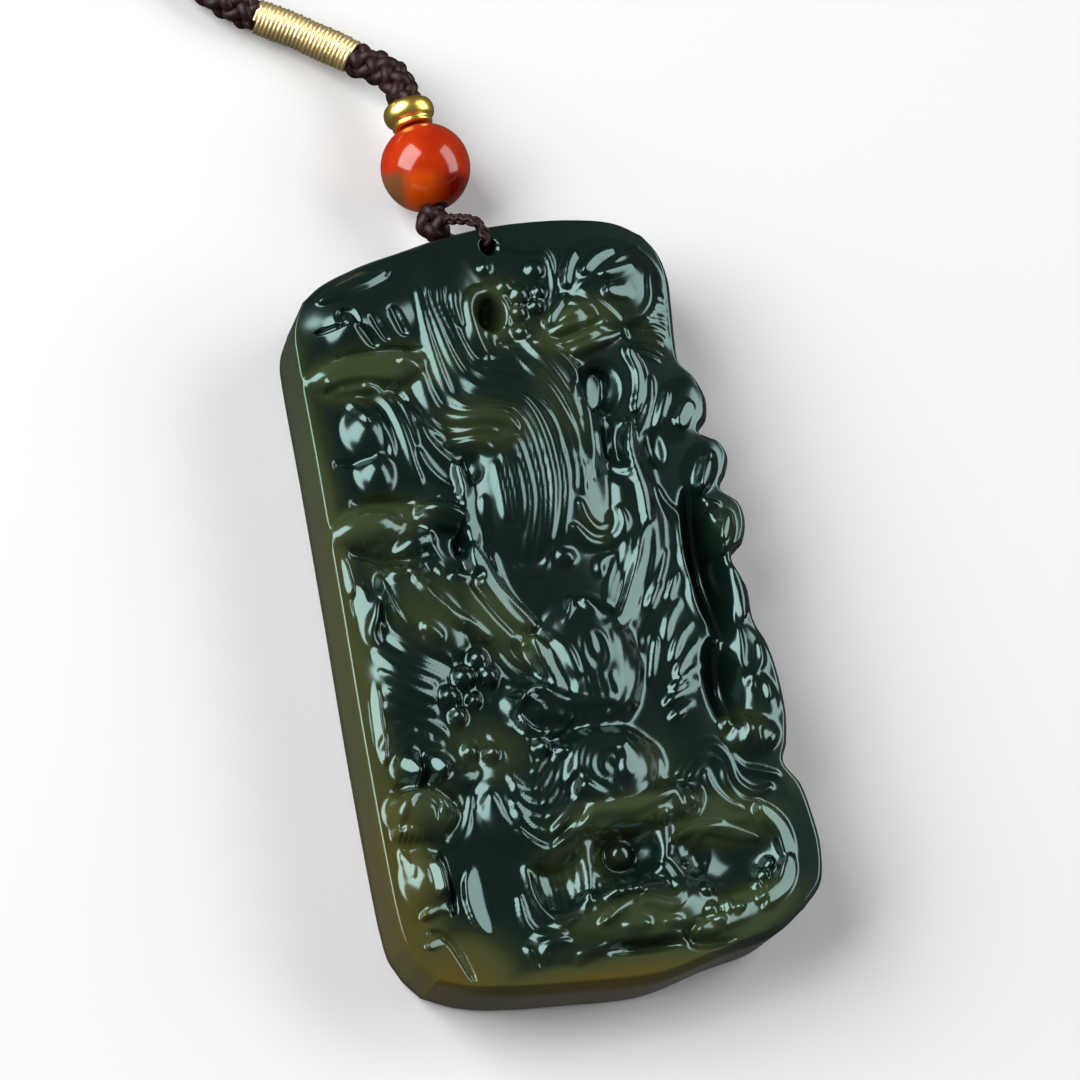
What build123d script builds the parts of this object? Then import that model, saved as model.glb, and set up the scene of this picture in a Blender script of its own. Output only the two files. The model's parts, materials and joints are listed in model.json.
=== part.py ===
"""Jade dragon pendant lying face up: carved plaque, agate bead, gilt spacer and neck cord.

Millimetres, +Z up, +Y towards the top of the plaque. The origin is on its flat back, near the middle.
"""

import os
from collections import namedtuple

import numpy as np
from build123d import *

os.makedirs("parts", exist_ok=True)

# Driving sizes of the carved plaque
plaque_length = 68.3
plaque_width = 37.8
plaque_thickness = 12.0
back_chamfer = 0.6
columns = 48
rows = 84

# The hole for the thin cord slants from the carved face to the top edge
cord_hole_radius = 0.85
cord_hole_from_top = 1.8
cord_hole_right = 0.85
cord_hole_slant = 24.0
cord_hole_turn = 15.0
loop_cord_diameter = 1.15

# The agate bead, its gilt spacer and the knot that they sit on
bead_diameter = 8.0
bead_bore = 2.0
bead_from_top_edge = 7.6
bead_right = -1.75
bead_lean = 4.5
thread_diameter = 1.6
spacer_diameter = 4.6
spacer_height = 2.0
spacer_lip_diameter = 3.7
spacer_lip_height = 0.45
knot_diameter = 3.5
knot_height = 2.5
knot_left = 0.8
seat_clearance = 0.06

# The braids, the gold binding and the neck cord
braid_diameter = 3.3
wrap_diameter = 3.3
divide_knot_diameter = 6.0
neck_cord_diameter = 2.4

# The carver's drawing is squared: so many squares across, along and deep
drawing_across = 39.6
drawing_along = 72.0
drawing_deep = 13.0
square_x = plaque_width / drawing_across
square_y = plaque_length / drawing_along
square_z = plaque_thickness / drawing_deep
middle_x = 0.2
middle_y = 0.4

# The outline in squares, one row a point, each side from its lower or left end
left_side = [
    (-17.4, -32.8), (-19.0, -30.4), (-19.8, -26.5), (-19.6, -12.0), (-19.1, 2.0),
    (-18.7, 15.0), (-18.5, 24.5), (-18.2, 27.8), (-17.0, 30.3),
]
right_side = [
    (16.8, -32.2), (18.8, -29.8), (19.6, -26.5), (19.5, -23.2), (19.1, -20.6), (18.0, -18.4),
    (18.7, -16.6), (19.3, -13.8), (19.4, -10.4), (19.1, -7.4), (18.3, -4.8), (18.4, -1.8),
    (17.6, 1.2), (18.9, 2.4), (19.7, 4.4), (19.5, 6.4), (18.1, 7.8), (18.9, 9.2),
    (19.5, 10.9), (18.9, 12.5), (17.3, 13.4), (18.3, 14.7), (18.7, 16.7), (18.1, 18.9),
    (17.0, 20.4), (17.1, 22.8), (17.5, 25.8), (17.8, 28.8), (17.4, 31.4), (16.2, 33.4),
]
bottom_side = [
    (-17.4, -32.8), (-14.4, -34.2), (-10.8, -35.0), (-5.0, -35.6), (2.2, -36.0), (8.6, -35.4),
    (13.4, -34.4), (16.8, -32.2),
]
top_side = [
    (-17.0, 30.3), (-14.8, 31.9), (-11.2, 33.4), (-7.0, 34.4), (-3.0, 35.3), (1.5, 35.9),
    (6.0, 36.0), (10.2, 35.7), (13.6, 35.0), (16.2, 33.4),
]

# Levels of the ground and of the plaque's rim, in squares above the back
ground_level = 7.6
rim_level = 8.2
left_rim_level = 9.6
rim_width = 1.5
blend = 0.5

# Swelling forms: centre, half sizes, turn in degrees, top level, fall at the half size, fullness
Swell = namedtuple("Swell", "x y across along turn top fall fullness")
swells = {
    "field": Swell(0, 0, 19, 37, 0, 9.6, 1.6, 4),
    "cloud_bank": Swell(-12.5, 26.8, 5, 3.2, 0, 10.6, 2.2, 2),
    "broad_band": Swell(-12.5, 22.8, 5.5, 1.9, 2, 11.2, 1.6, 4),
    "left_lump_upper": Swell(-15.2, 16.6, 2.3, 3, 10, 10.8, 1.6, 2),
    "left_lump_lower": Swell(-14.6, 12.6, 2, 1.8, 0, 10.6, 1.6, 2),
    "left_locks": Swell(-11, 15.5, 4.5, 6, 0, 10.6, 1.2, 2),
    "mane_top": Swell(-4.8, 25, 3, 7, -8, 11.0, 1.3, 2),
    "mane_middle": Swell(0.5, 16, 6, 7, -35, 11.4, 1.5, 2),
    "mane_end": Swell(1.5, 9, 4.5, 7, 0, 11.4, 1.4, 2),
    "mane_right": Swell(4.5, 17, 3.4, 7.5, 12, 11.0, 1.4, 2),
    "paw": Swell(11.8, 28, 4.2, 4, 0, 11.6, 2.2, 2),
    "paw_leaf": Swell(7.2, 25.7, 3, 1.6, 18, 11.2, 1.6, 2),
    "paw_bands": Swell(8.2, 23.2, 3.6, 1.4, 15, 10.8, 1.4, 2),
    "comb": Swell(14.6, 23.8, 1.6, 4, 28, 10.0, 1.2, 2),
    "lobe_upper": Swell(15.6, 15.6, 2.4, 3.6, -32, 10.8, 2, 2),
    "lobe_middle": Swell(16.4, 9.6, 2.2, 3.4, -28, 10.5, 2, 2),
    "lobe_lower": Swell(16.9, 3.7, 2.2, 3.2, -25, 10.2, 2, 2),
    "right_rim": Swell(17.4, -2.4, 1.3, 4.2, 0, 9.4, 1.4, 2),
    "right_cloud_upper": Swell(16.7, -8, 1.9, 3.4, 8, 10.6, 1.6, 2),
    "right_cloud_lower": Swell(17, -12.6, 1.8, 2.4, 0, 10.7, 1.6, 2),
    "right_paw": Swell(15.2, -15.6, 2.9, 2.4, 0, 11.0, 1.6, 2),
    "forehead": Swell(2.3, 0.2, 3.2, 4.2, 0, 10.8, 1.2, 2),
    "horn_root": Swell(-6.5, -0.4, 4.6, 2.6, -42, 11.4, 1.3, 3),
    "curl_leaf": Swell(-8.4, 8.3, 2.6, 1.5, -18, 11.2, 1.4, 3),
    "left_cloud": Swell(-15.6, 8.2, 3.4, 1.7, 5, 10.8, 1.4, 3),
    "left_curl": Swell(-11.6, 6.2, 2.3, 1.4, 25, 10.8, 1.4, 2),
    "ear": Swell(-12.6, 0.2, 2.4, 4.8, 28, 11.4, 1.5, 3),
    "ear_edge": Swell(-16.6, 0.2, 1.3, 3.2, -12, 10.5, 1.2, 2),
    "ear_ribs": Swell(-14.4, -6, 4.2, 4.8, 25, 10.9, 1.4, 2),
    "bridge": Swell(1.8, -6.5, 4.2, 6, 0, 12.0, 1.8, 2),
    "nose": Swell(2.2, -16.6, 4.6, 3.9, 0, 12.8, 2.4, 2),
    "left_cheek": Swell(-5.2, -17.5, 4.4, 5, 20, 11.6, 1.8, 2),
    "right_cheek": Swell(8, -15, 3.6, 4.5, 0, 10.0, 1.4, 2),
    "left_eye": Swell(-3.2, -10.4, 3, 2, -15, 11.8, 1.2, 2),
    "upper_lip": Swell(1.8, -20.6, 6.2, 1.9, 0, 12.4, 1.6, 3),
    "lower_jaw": Swell(1.2, -29.6, 5.6, 2.6, 0, 11.6, 1.6, 2),
    "chin": Swell(-5, -31.6, 4.2, 1.8, 0, 10.6, 1.4, 2),
    "jaw_plane": Swell(-11.8, -26.5, 3.7, 6.6, 6, 11.4, 1.8, 3),
    "left_plane": Swell(-16.8, -24.2, 2, 2.7, 0, 11.2, 1.4, 2),
    "lower_left_curl": Swell(-16, -18.2, 2.9, 2.2, -8, 11.8, 1.6, 2.6),
    "left_lump_row": Swell(-15, -14.3, 2.9, 1.6, 0, 11.0, 1.6, 2),
    "small_leaf": Swell(-12.9, -15.8, 2.6, 1.1, 10, 10.9, 1.4, 2),
    "corner_swell": Swell(-16.6, -31, 3.2, 3, 0, 10.6, 1.4, 3),
    "bottom_swell": Swell(-11.6, -31.4, 3, 3.2, 0, 10.8, 1.5, 3),
    "feathers": Swell(11, -6, 3.2, 8, -8, 10.0, 1.4, 2),
    "horn_bed": Swell(9, 5, 2.2, 7, -5, 10.4, 1.2, 2),
}

# Hollows cut below the ground: centre, half sizes, turn in degrees, depth
Hollow = namedtuple("Hollow", "x y across along turn depth")
hollows = {
    "swirl_pit": Hollow(-0.2, 27, 1.6, 2.0, 0, 2.6),
    "rough_hollow": Hollow(8.4, 18.7, 2.2, 2.9, -12, 2.6),
    "side_recess": Hollow(14.7, 0.5, 1.9, 8, 0, 3.4),
    "low_recess": Hollow(13.7, -10.5, 1.9, 4.5, 0, 2.8),
    "cheek_hollow": Hollow(9.2, -15, 3.2, 2.2, 0, 1.6),
    "under_curl": Hollow(-5, 12.6, 1.1, 1.7, 0, 1.8),
    "mouth": Hollow(1.4, -24.8, 3, 2.6, 0, 4.2),
    "mouth_left": Hollow(-5.2, -26.2, 2.4, 2.7, -10, 3.2),
    "mouth_right": Hollow(7.4, -25.6, 1.8, 2.2, 0, 2.4),
    "ring_hollow": Hollow(11.6, -26.8, 4.3, 3.6, 10, 2.6),
    "slot_by_horn": Hollow(8.6, 12.6, 1.4, 3.6, 0, 2.2),
    "slot_by_curl": Hollow(-7.2, 4.8, 1.2, 1.6, 0, 1.6),
    "slot_by_lobe": Hollow(12.4, 12.2, 1, 2, 0, 1.8),
    "bottom_slot": Hollow(1, -33, 4, 0.7, -4, 1.2),
}

# Raised strokes: half width, rise above the form below, places that they run through
Stroke = namedtuple("Stroke", "half_width rise places")
strokes = {
    "cloud_scroll": Stroke(1.0, 0.9, [(-16.2, 26.6), (-14.8, 28.2), (-12.8, 27.2), (-11.6, 25)]),
    "cloud_finger": Stroke(0.8, 0.8, [(-10.6, 27.6), (-9.6, 25.2)]),
    "band_lock": Stroke(0.95, 0.9, [
        (-9.6, 23.2), (-8.0, 21.8), (-7.0, 18.6), (-4.6, 17.0), (-1.0, 16.6), (1.1, 13.5), (0.6, 7.5),
        (-0.1, 4.4),
    ]),
    "swirl": Stroke(0.75, 1.2, [
        (-1.2, 22.6), (-2.0, 26.4), (-1.0, 29.0), (0.6, 29.0), (1.5, 27.6), (1.2, 25.8),
    ]),
    "upper_petal": Stroke(0.85, 1.0, [(7.3, 28.9), (9.0, 32.0)]),
    "second_petal": Stroke(1.05, 1.0, [(8.9, 29.4), (12.4, 31.3)]),
    "lower_petal": Stroke(1.15, 1.0, [(9.9, 27.6), (14.0, 26.9)]),
    "petal_rim": Stroke(0.8, 0.8, [(12.0, 24.4), (15.0, 26.2), (15.9, 30.4)]),
    "sweep_upper": Stroke(0.7, 0.8, [(5.1, 24.3), (9.6, 25.4)]),
    "sweep_lower": Stroke(0.7, 0.8, [(5.8, 22.6), (10.8, 24.0)]),
    "right_horn": Stroke(1.1, 1.5, [
        (11.6, 22.4), (12.4, 19.6), (11.6, 16.2), (10.0, 12.0), (10.3, 6.5), (8.6, 1.2), (5.0, -3.9),
    ]),
    "lobe_upper_back": Stroke(1.2, 1.0, [(14.9, 13.6), (16.8, 16.8)]),
    "lobe_middle_back": Stroke(1.1, 1.0, [(15.6, 7.6), (17.4, 11.0)]),
    "lobe_lower_back": Stroke(1.1, 1.0, [(16.2, 1.6), (17.8, 5.0)]),
    "right_edge": Stroke(0.85, 1.2, [(17.0, 0.0), (17.2, -2.2), (17.0, -4.8)]),
    "panel_edge": Stroke(0.8, 1.3, [
        (11.8, 8.4), (13.3, 5.0), (12.7, 1.2), (13.0, -0.8), (12.6, -2.4), (13.6, -5.2),
    ]),
    "brow_curl": Stroke(0.9, 1.2, [(2.9, 5.6), (4.2, 4.1), (6.2, 3.9), (7.6, 5.2), (7.6, 6.9)]),
    "right_brow": Stroke(0.9, 1.2, [(10.8, 2.6), (8.2, -1.4), (5.4, -4.8)]),
    "right_brow_low": Stroke(0.8, 1.0, [(3.6, -11.3), (6.2, -8.4), (8.2, -5.2)]),
    "bridge_leaf": Stroke(1.2, 0.9, [(2.2, -4.6), (2.0, -8.0)]),
    "left_horn": Stroke(1.1, 1.4, [
        (-5.9, 13.2), (-5.7, 10.4), (-6.4, 4.8), (-5.9, 2.0), (-4.6, -0.6), (-3.1, -2.8),
    ]),
    "left_horn_low": Stroke(1.0, 1.2, [(-2.8, -4.2), (-1.0, -9.2)]),
    "ear_seam": Stroke(0.7, 0.9, [(-12.1, 3.6), (-10.8, 0.2), (-7.0, -3.8)]),
    "left_hook": Stroke(0.6, 1.0, [
        (-15.6, 5.7), (-12.2, 8.0), (-10.8, 8.4), (-10.0, 6.4), (-9.5, 4.4), (-7.1, 3.3),
    ]),
    "upper_eyelid": Stroke(0.8, 1.2, [
        (-5.9, -11.8), (-5.6, -9.8), (-4.0, -8.8), (-1.9, -10.0), (0.4, -11.0), (3.2, -11.0),
    ]),
    "lower_eyelid": Stroke(0.6, 0.9, [(-5.6, -11.6), (-4.0, -12.9), (-0.4, -12.1)]),
    "left_nostril": Stroke(0.7, 0.9, [
        (2.6, -15.3), (0.8, -14.7), (-0.6, -15.3), (-1.1, -16.8), (-0.4, -18.5),
    ]),
    "right_nostril": Stroke(0.6, 0.9, [(5.0, -15.0), (6.2, -16.6), (5.6, -18.6)]),
    "upper_lip_edge": Stroke(0.9, 1.0, [(-3.2, -21.6), (-1.0, -20.9), (3.4, -21.2), (7.0, -19.7)]),
    "left_fang": Stroke(0.7, 2.0, [(-1.6, -21.8), (-2.7, -28.0)]),
    "right_fang": Stroke(0.85, 2.8, [(5.2, -21.6), (4.6, -26.0)]),
    "lower_lip": Stroke(0.7, 1.2, [
        (4.8, -25.4), (5.4, -28.6), (3.6, -29.8), (1.4, -28.9), (-0.6, -29.4), (-3.8, -30.7),
    ]),
    "left_jaw": Stroke(0.8, 1.3, [(-8.0, -24.4), (-7.6, -28.0), (-5.9, -29.9), (-4.6, -29.6)]),
    "left_whisker": Stroke(0.9, 1.6, [
        (-11.1, -19.6), (-11.0, -18.0), (-10.0, -17.1), (-9.0, -17.5), (-8.4, -19.6), (-6.8, -22.2),
        (-5.4, -23.2), (-2.4, -21.6),
    ]),
    "right_whisker": Stroke(0.9, 1.6, [
        (6.4, -19.7), (9.9, -17.4), (11.4, -17.1), (12.2, -19.4), (13.3, -21.1), (16.2, -22.0),
    ]),
    "ring_outer": Stroke(1.0, 1.4, [
        (16.6, -20.6), (17.5, -24.6), (16.9, -28.8), (15.0, -31.2), (11.6, -33.0), (5.8, -32.9),
    ]),
    "ring_inner": Stroke(1.2, 1.6, [
        (13.6, -22.4), (15.9, -25.2), (15.3, -28.6), (13.2, -30.6), (7.2, -32.3),
    ]),
    "ring_spine": Stroke(0.8, 1.0, [(5.8, -24.0), (8.4, -23.4), (13.8, -25.0)]),
    "cloud_loop": Stroke(0.7, 1.0, [(16.2, -5.6), (15.7, -9.4), (16.8, -9.9), (17.8, -7.4)]),
    "curl_head": Stroke(0.9, 0.9, [(-18.2, -19.0), (-16.4, -16.4), (-13.8, -18.6)]),
    "curl_band": Stroke(0.7, 1.1, [
        (-18.2, -20.2), (-16.4, -20.5), (-14.4, -21.2), (-12.8, -20.6), (-11.6, -18.4),
    ]),
}

# Bundles of locks between two guide lines: number of locks, rise, left and right guide
Bundle = namedtuple("Bundle", "locks rise left right")
bundles = {
    "main_mane": Bundle(
        3, 1.0,
        [(-6.9, 30.3), (-6.7, 23.5), (-4.7, 18.2), (0.4, 17.0), (2.1, 11.5), (0.6, 4.2)],
        [(-2.8, 30.0), (-2.8, 24.5), (0.0, 20.4), (4.0, 16.2), (4.7, 10.6), (2.3, 4.2)],
    ),
    "right_mane": Bundle(
        2, 1.0,
        [(0.2, 24.4), (2.4, 20.2), (4.8, 13.8), (4.4, 8.2)],
        [(4.2, 24.0), (6.9, 19.6), (6.8, 13.4), (6.0, 8.6)],
    ),
    "left_locks": Bundle(
        3, 1.0,
        [(-15.9, 21.4), (-13.5, 17.3), (-13.4, 12.4)],
        [(-9.9, 21.0), (-8.2, 16.2), (-5.9, 12.0)],
    ),
    "ear_ribs": Bundle(
        4, 1.0,
        [(-15.2, -0.4), (-14.4, -2.6), (-10.8, -5.2)],
        [(-17.6, -8.7), (-16.0, -9.8), (-12.4, -11.2)],
    ),
    "cheek_strands": Bundle(
        3, 0.9,
        [(-7.9, -16.8), (-5.1, -18.7), (-2.2, -14.9)],
        [(-7.1, -21.1), (-4.9, -22.6), (-1.6, -19.8)],
    ),
    "feather_row": Bundle(
        3, 0.8,
        [(8.7, -1.6), (9.1, -7.2), (8.0, -12.0)],
        [(11.0, 0.8), (12.7, -5.4), (12.4, -10.8)],
    ),
}

# Round beads of jade: centre, radius, rise
Pearl = namedtuple("Pearl", "x y radius rise")
pearls = {
    "mouth_pearl": Pearl(1.3, -24.4, 1.3, 3.0),
    "cheek_pearl_top": Pearl(-8.2, -5.2, 1.1, 1.3),
    "cheek_pearl_left": Pearl(-9.8, -6.7, 1.2, 1.4),
    "cheek_pearl_right": Pearl(-7.6, -6.9, 1.1, 1.3),
    "cheek_pearl_low": Pearl(-11.4, -8.3, 1.1, 1.3),
    "tongue": Pearl(2.5, -26.2, 1.0, 1.6),
    "swirl_bubble": Pearl(2.9, 28.4, 1.1, 0.9),
}


def through(places, share):
    """Points at the given shares (0 to 1) of a smooth curve through the given places."""
    ends = [2 * np.array(places[0]) - np.array(places[1])], [2 * np.array(places[-1]) - np.array(places[-2])]
    knots = np.vstack([ends[0], places, ends[1]])
    spans = len(places) - 1
    position = np.clip(np.asarray(share) * spans, 0, spans - 1e-9)
    span = position.astype(int)
    t = (position - span)[:, None]
    before, start, finish, after = (knots[span + i] for i in range(4))
    return 0.5 * (
        2 * start
        + (finish - before) * t
        + (2 * before - 5 * start + 4 * finish - after) * t**2
        + (3 * start - before - 3 * finish + after) * t**3
    )


def smooth_union(a, b):
    """The higher of two levels, rounded where they cross."""
    share = np.clip(0.5 + 0.5 * (a - b) / blend, 0, 1)
    return b * (1 - share) + a * share + blend * share * (1 - share)


def reach(x, y, form):
    """Distance from a form's centre, as a share of its half sizes."""
    turn = np.radians(form.turn)
    u = ((x - form.x) * np.cos(turn) + (y - form.y) * np.sin(turn)) / form.across
    v = ((y - form.y) * np.cos(turn) - (x - form.x) * np.sin(turn)) / form.along
    return np.hypot(u, v)


def raised(x, y, line, half_width, rise):
    """Rise of a round-backed stroke with the given centre line."""
    nearest = np.full(x.shape, 9.0)
    widths = np.broadcast_to(half_width, len(line))
    for start, finish, width in zip(line[:-1], line[1:], widths):
        run = finish - start
        t = np.clip(((x - start[0]) * run[0] + (y - start[1]) * run[1]) / (run @ run), 0, 1)
        away = np.hypot(x - start[0] - t * run[0], y - start[1] - t * run[1])
        nearest = np.minimum(nearest, away / width)
    return rise * np.sqrt(np.clip(1 - nearest**2, 0, 1))


def bundle_lines(bundle):
    """Centre line and half width of each lock in a bundle."""
    share = np.linspace(0, 1, 25)
    left = through(bundle.left, share)
    right = through(bundle.right, share)
    flow = np.gradient((left + right) / 2, axis=0)
    across = np.stack([-flow[:, 1], flow[:, 0]], axis=1) / np.linalg.norm(flow, axis=1)[:, None]
    half_width = np.abs(((right - left) * across).sum(axis=1)) / (2 * bundle.locks) + 0.1
    for lock in range(bundle.locks):
        place = (lock + 0.5) / bundle.locks
        yield left * (1 - place) + right * place, half_width


def outline_points(x_steps, y_steps):
    """The outline in squares, anticlockwise from its lower left corner."""
    bottom = through(bottom_side, x_steps)
    right = through(right_side, y_steps)
    top = through(top_side, x_steps)
    left = through(left_side, y_steps)
    return np.vstack([bottom[:-1], right[:-1], top[:0:-1], left[:0:-1]])


def carved_level(x, y):
    """Height of the carved face above the back, in squares, at places on the drawing."""
    level = np.full(x.shape, ground_level)
    for form in swells.values():
        fall = form.fall * np.minimum(reach(x, y, form), 3) ** form.fullness
        level = smooth_union(level, form.top - fall)
    for form in hollows.values():
        level -= form.depth * np.clip(1 - reach(x, y, form) ** 2, 0, 1)
    relief = np.zeros(x.shape)
    for stroke in strokes.values():
        line = through(stroke.places, np.linspace(0, 1, 6 * len(stroke.places)))
        relief = np.maximum(relief, raised(x, y, line, stroke.half_width, stroke.rise))
    for bundle in bundles.values():
        for line, half_width in bundle_lines(bundle):
            relief = np.maximum(relief, raised(x, y, line, half_width, bundle.rise))
    for pearl in pearls.values():
        away = np.hypot(x - pearl.x, y - pearl.y) / pearl.radius
        relief = np.maximum(relief, pearl.rise * np.sqrt(np.clip(1 - away**2, 0, 1)))
    level = np.minimum(level + relief, drawing_deep)
    outline = outline_points(np.linspace(0, 1, 61), np.linspace(0, 1, 121))
    inside = np.min(np.hypot(x[..., None] - outline[:, 0], y[..., None] - outline[:, 1]), axis=-1)
    inward = np.clip(inside / rim_width, 0, 1)
    rim = rim_level + (left_rim_level - rim_level) * np.clip(-x / 16, 0, 1)
    return np.minimum(level, rim + (drawing_deep - rim) * (1 - np.sqrt(1 - inward**2)) + inward)


def carved_grid():
    """Places and heights of the carved face in millimetres, on a grid that fills the outline."""
    u = np.linspace(0, 1, columns + 1)
    v = np.linspace(0, 1, rows + 1)
    left, right = through(left_side, v), through(right_side, v)
    bottom, top = through(bottom_side, u), through(top_side, u)
    s, t = np.meshgrid(u, v)
    s, t = s[..., None], t[..., None]
    place = (
        (1 - s) * left[:, None] + s * right[:, None] + (1 - t) * bottom[None] + t * top[None]
        - (1 - s) * (1 - t) * bottom[0] - s * (1 - t) * bottom[-1] - (1 - s) * t * top[0] - s * t * top[-1]
    )
    level = carved_level(place[..., 0], place[..., 1])
    return np.stack([
        (place[..., 0] - middle_x) * square_x,
        (place[..., 1] - middle_y) * square_y,
        level * square_z,
    ], axis=-1)


def facet(*corners):
    return Face(Wire.make_polygon([tuple(corner) for corner in corners]))


def plaque_facets(grid):
    """Carved face, side walls, back chamfer and flat back."""
    for row in range(rows):
        for column in range(columns):
            a, b = grid[row, column], grid[row, column + 1]
            c, d = grid[row + 1, column + 1], grid[row + 1, column]
            if abs(a[2] - c[2]) < abs(b[2] - d[2]):
                yield facet(a, b, c)
                yield facet(a, c, d)
            else:
                yield facet(a, b, d)
                yield facet(b, c, d)
    rim = np.vstack([grid[0, :-1], grid[:-1, -1], grid[-1, :0:-1], grid[:0:-1, 0]])
    ahead = np.roll(rim, -1, axis=0)[:, :2] - np.roll(rim, 1, axis=0)[:, :2]
    inward = np.stack([-ahead[:, 1], ahead[:, 0]], axis=1) / np.linalg.norm(ahead, axis=1)[:, None]
    count = len(rim)
    upper = np.column_stack([rim[:, :2], np.full(count, back_chamfer)])
    lower = np.column_stack([rim[:, :2] + back_chamfer * inward, np.zeros(count)])
    for i in range(count):
        j = (i + 1) % count
        yield facet(rim[i], upper[i], upper[j], rim[j])
        yield facet(upper[i], lower[i], lower[j])
        yield facet(upper[i], lower[j], upper[j])
    yield facet(*lower[::-1])


def bend_radii(route, diameter, name):
    """Radius of the arc at each corner of a cord's route, as large as its two runs allow."""
    points = [Vector(*place) for place in route]
    radii = []
    for before, corner, after in zip(points, points[1:], points[2:]):
        run_in, run_out = corner - before, after - corner
        half_turn = np.radians(run_in.get_angle(run_out) / 2)
        radii.append(float(0.45 * min(run_in.length, run_out.length) / np.tan(half_turn)))
    print(name, "bend radii in diameters:", [round(radius / diameter, 1) for radius in radii])
    return radii


def between(first, second, share):
    """A place on the straight run between two places."""
    return tuple(a + (b - a) * share for a, b in zip(first, second))


carved = Solid(Shell(list(plaque_facets(carved_grid()))))

# The slanted cord hole: its mouth on the face, and the direction in which it runs to the top edge
top_edge = (max(y for x, y in top_side) - middle_y) * square_y
hole_mouth = Vector(cord_hole_right, top_edge - cord_hole_from_top, rim_level * square_z)
hole_way = Vector(0, 0, -1).rotate(Axis.X, cord_hole_slant).rotate(Axis.Z, cord_hole_turn)

with BuildPart() as dragon_plaque:
    add(carved)
    with Locations(Plane(origin=hole_mouth, z_dir=-hole_way)):
        Hole(cord_hole_radius)

# The string's axis runs up from the knot, level with the bead lying on the table
string_way = Vector(0, 1, 0).rotate(Axis.Z, bead_lean)
bead_centre = Vector(bead_right, top_edge + bead_from_top_edge, bead_diameter / 2)


def on_string(distance):
    """Plane across the string, so far above the bead's centre."""
    return Plane(origin=bead_centre + distance * string_way, z_dir=string_way)


with BuildPart() as agate_bead:
    with Locations(on_string(0)):
        Sphere(bead_diameter / 2)
        Cylinder(bead_bore / 2, 2 * bead_diameter, mode=Mode.SUBTRACT)

# The knot is seated on the rim of the bead's bore, and so is the spacer on the other side
bore_rim = (bead_diameter**2 - bead_bore**2) ** 0.5 / 2
knot_top = -bore_rim - seat_clearance
spacer_foot = bore_rim + seat_clearance
spacer_top = spacer_foot + spacer_lip_height + spacer_height

string_right = string_way.cross(Vector(0, 0, 1))
knot_middle = bead_centre + (knot_top - knot_height / 2) * string_way - knot_left * string_right

with BuildPart() as bead_knot:
    with BuildSketch(Plane(origin=knot_middle, z_dir=string_way)):
        Circle(knot_diameter / 2)
    extrude(amount=knot_height / 2, both=True)
    fillet(bead_knot.edges(), knot_height * 0.4)

with BuildPart() as gold_spacer:
    half_section = Plane(origin=bead_centre, x_dir=(0, 0, 1), z_dir=Vector(0, 0, 1).cross(string_way))
    with BuildSketch(half_section) as ring_section:
        ring_width = (spacer_diameter - bead_bore) / 2
        with Locations((bead_bore / 2, spacer_foot + spacer_lip_height)):
            Rectangle(ring_width, spacer_height, align=Align.MIN)
        fillet(ring_section.vertices().group_by(Axis.X)[-1], spacer_height * 0.45)
        lip_width = (spacer_lip_diameter - bead_bore) / 2
        with Locations((bead_bore / 2, spacer_foot)):
            Rectangle(lip_width, spacer_lip_height, align=Align.MIN)
    revolve(axis=Axis(bead_centre, string_way))

with BuildPart() as bead_thread:
    with BuildSketch(on_string(knot_top + seat_clearance)):
        Circle(thread_diameter / 2)
    extrude(amount=spacer_top - knot_top - seat_clearance)

# The thin cord leaves the knot, goes over the plaque's top edge and back through its slanted hole
hole_foot = hole_mouth + hole_way * (cord_hole_from_top / hole_way.Y)
loop_route = [tuple(place) for place in (
    knot_middle + Vector(0.45, 0, 0.3) * loop_cord_diameter,
    hole_mouth + Vector(-0.7, 2.2, 0.85) * loop_cord_diameter,
    hole_mouth + Vector(0.1, 0.6, 1.1) * loop_cord_diameter,
    hole_mouth + Vector(0, -0.15, -0.15) * loop_cord_diameter,
    hole_foot + 0.85 * loop_cord_diameter * hole_way,
    knot_middle + Vector(-0.4, 0, -0.2) * loop_cord_diameter,
)]

loop_radii = bend_radii(loop_route, loop_cord_diameter, "loop_cord")

with BuildPart() as loop_cord:
    with BuildLine():
        over_the_edge = FilletPolyline(*loop_route, radius=loop_radii)
    with BuildSketch(Plane(origin=loop_route[0], z_dir=over_the_edge % 0)):
        Circle(loop_cord_diameter / 2)
    sweep()
    knot_room = 1 + 2 * seat_clearance / knot_height
    add(bead_knot.part.scale(knot_room, knot_middle), mode=Mode.SUBTRACT)

# The braid's route: off the spacer, down to the table, up and left past the gold binding
braid_start = bead_centre + (spacer_top + seat_clearance) * string_way
on_table = braid_diameter / 2
braid_route = [
    tuple(braid_start),
    tuple(braid_start + 2.0 * string_way),
    tuple(braid_start + Vector(-1.0, 3.7, -0.8)),
    (-4.8, 52.6, on_table + 0.85),
    (-9.0, 56.2, on_table),
    (-15.8, 59.9, on_table),
    (-19.0, 63.6, on_table),
    (-20.9, 68.9, on_table),
    (-24.6, 74.4, on_table + 0.4),
    (-30.0, 78.5, divide_knot_diameter / 2 + 0.15),
]
braid_nodes = {
    "braid_lower": (braid_diameter, [*braid_route[:4], between(braid_route[3], braid_route[4], 0.22)]),
    "gold_wrap": (wrap_diameter, [
        between(braid_route[3], braid_route[4], 0.23), braid_route[4],
        between(braid_route[4], braid_route[5], 0.66),
    ]),
    "braid_upper": (braid_diameter, [between(braid_route[4], braid_route[5], 0.67), *braid_route[5:]]),
}

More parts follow.
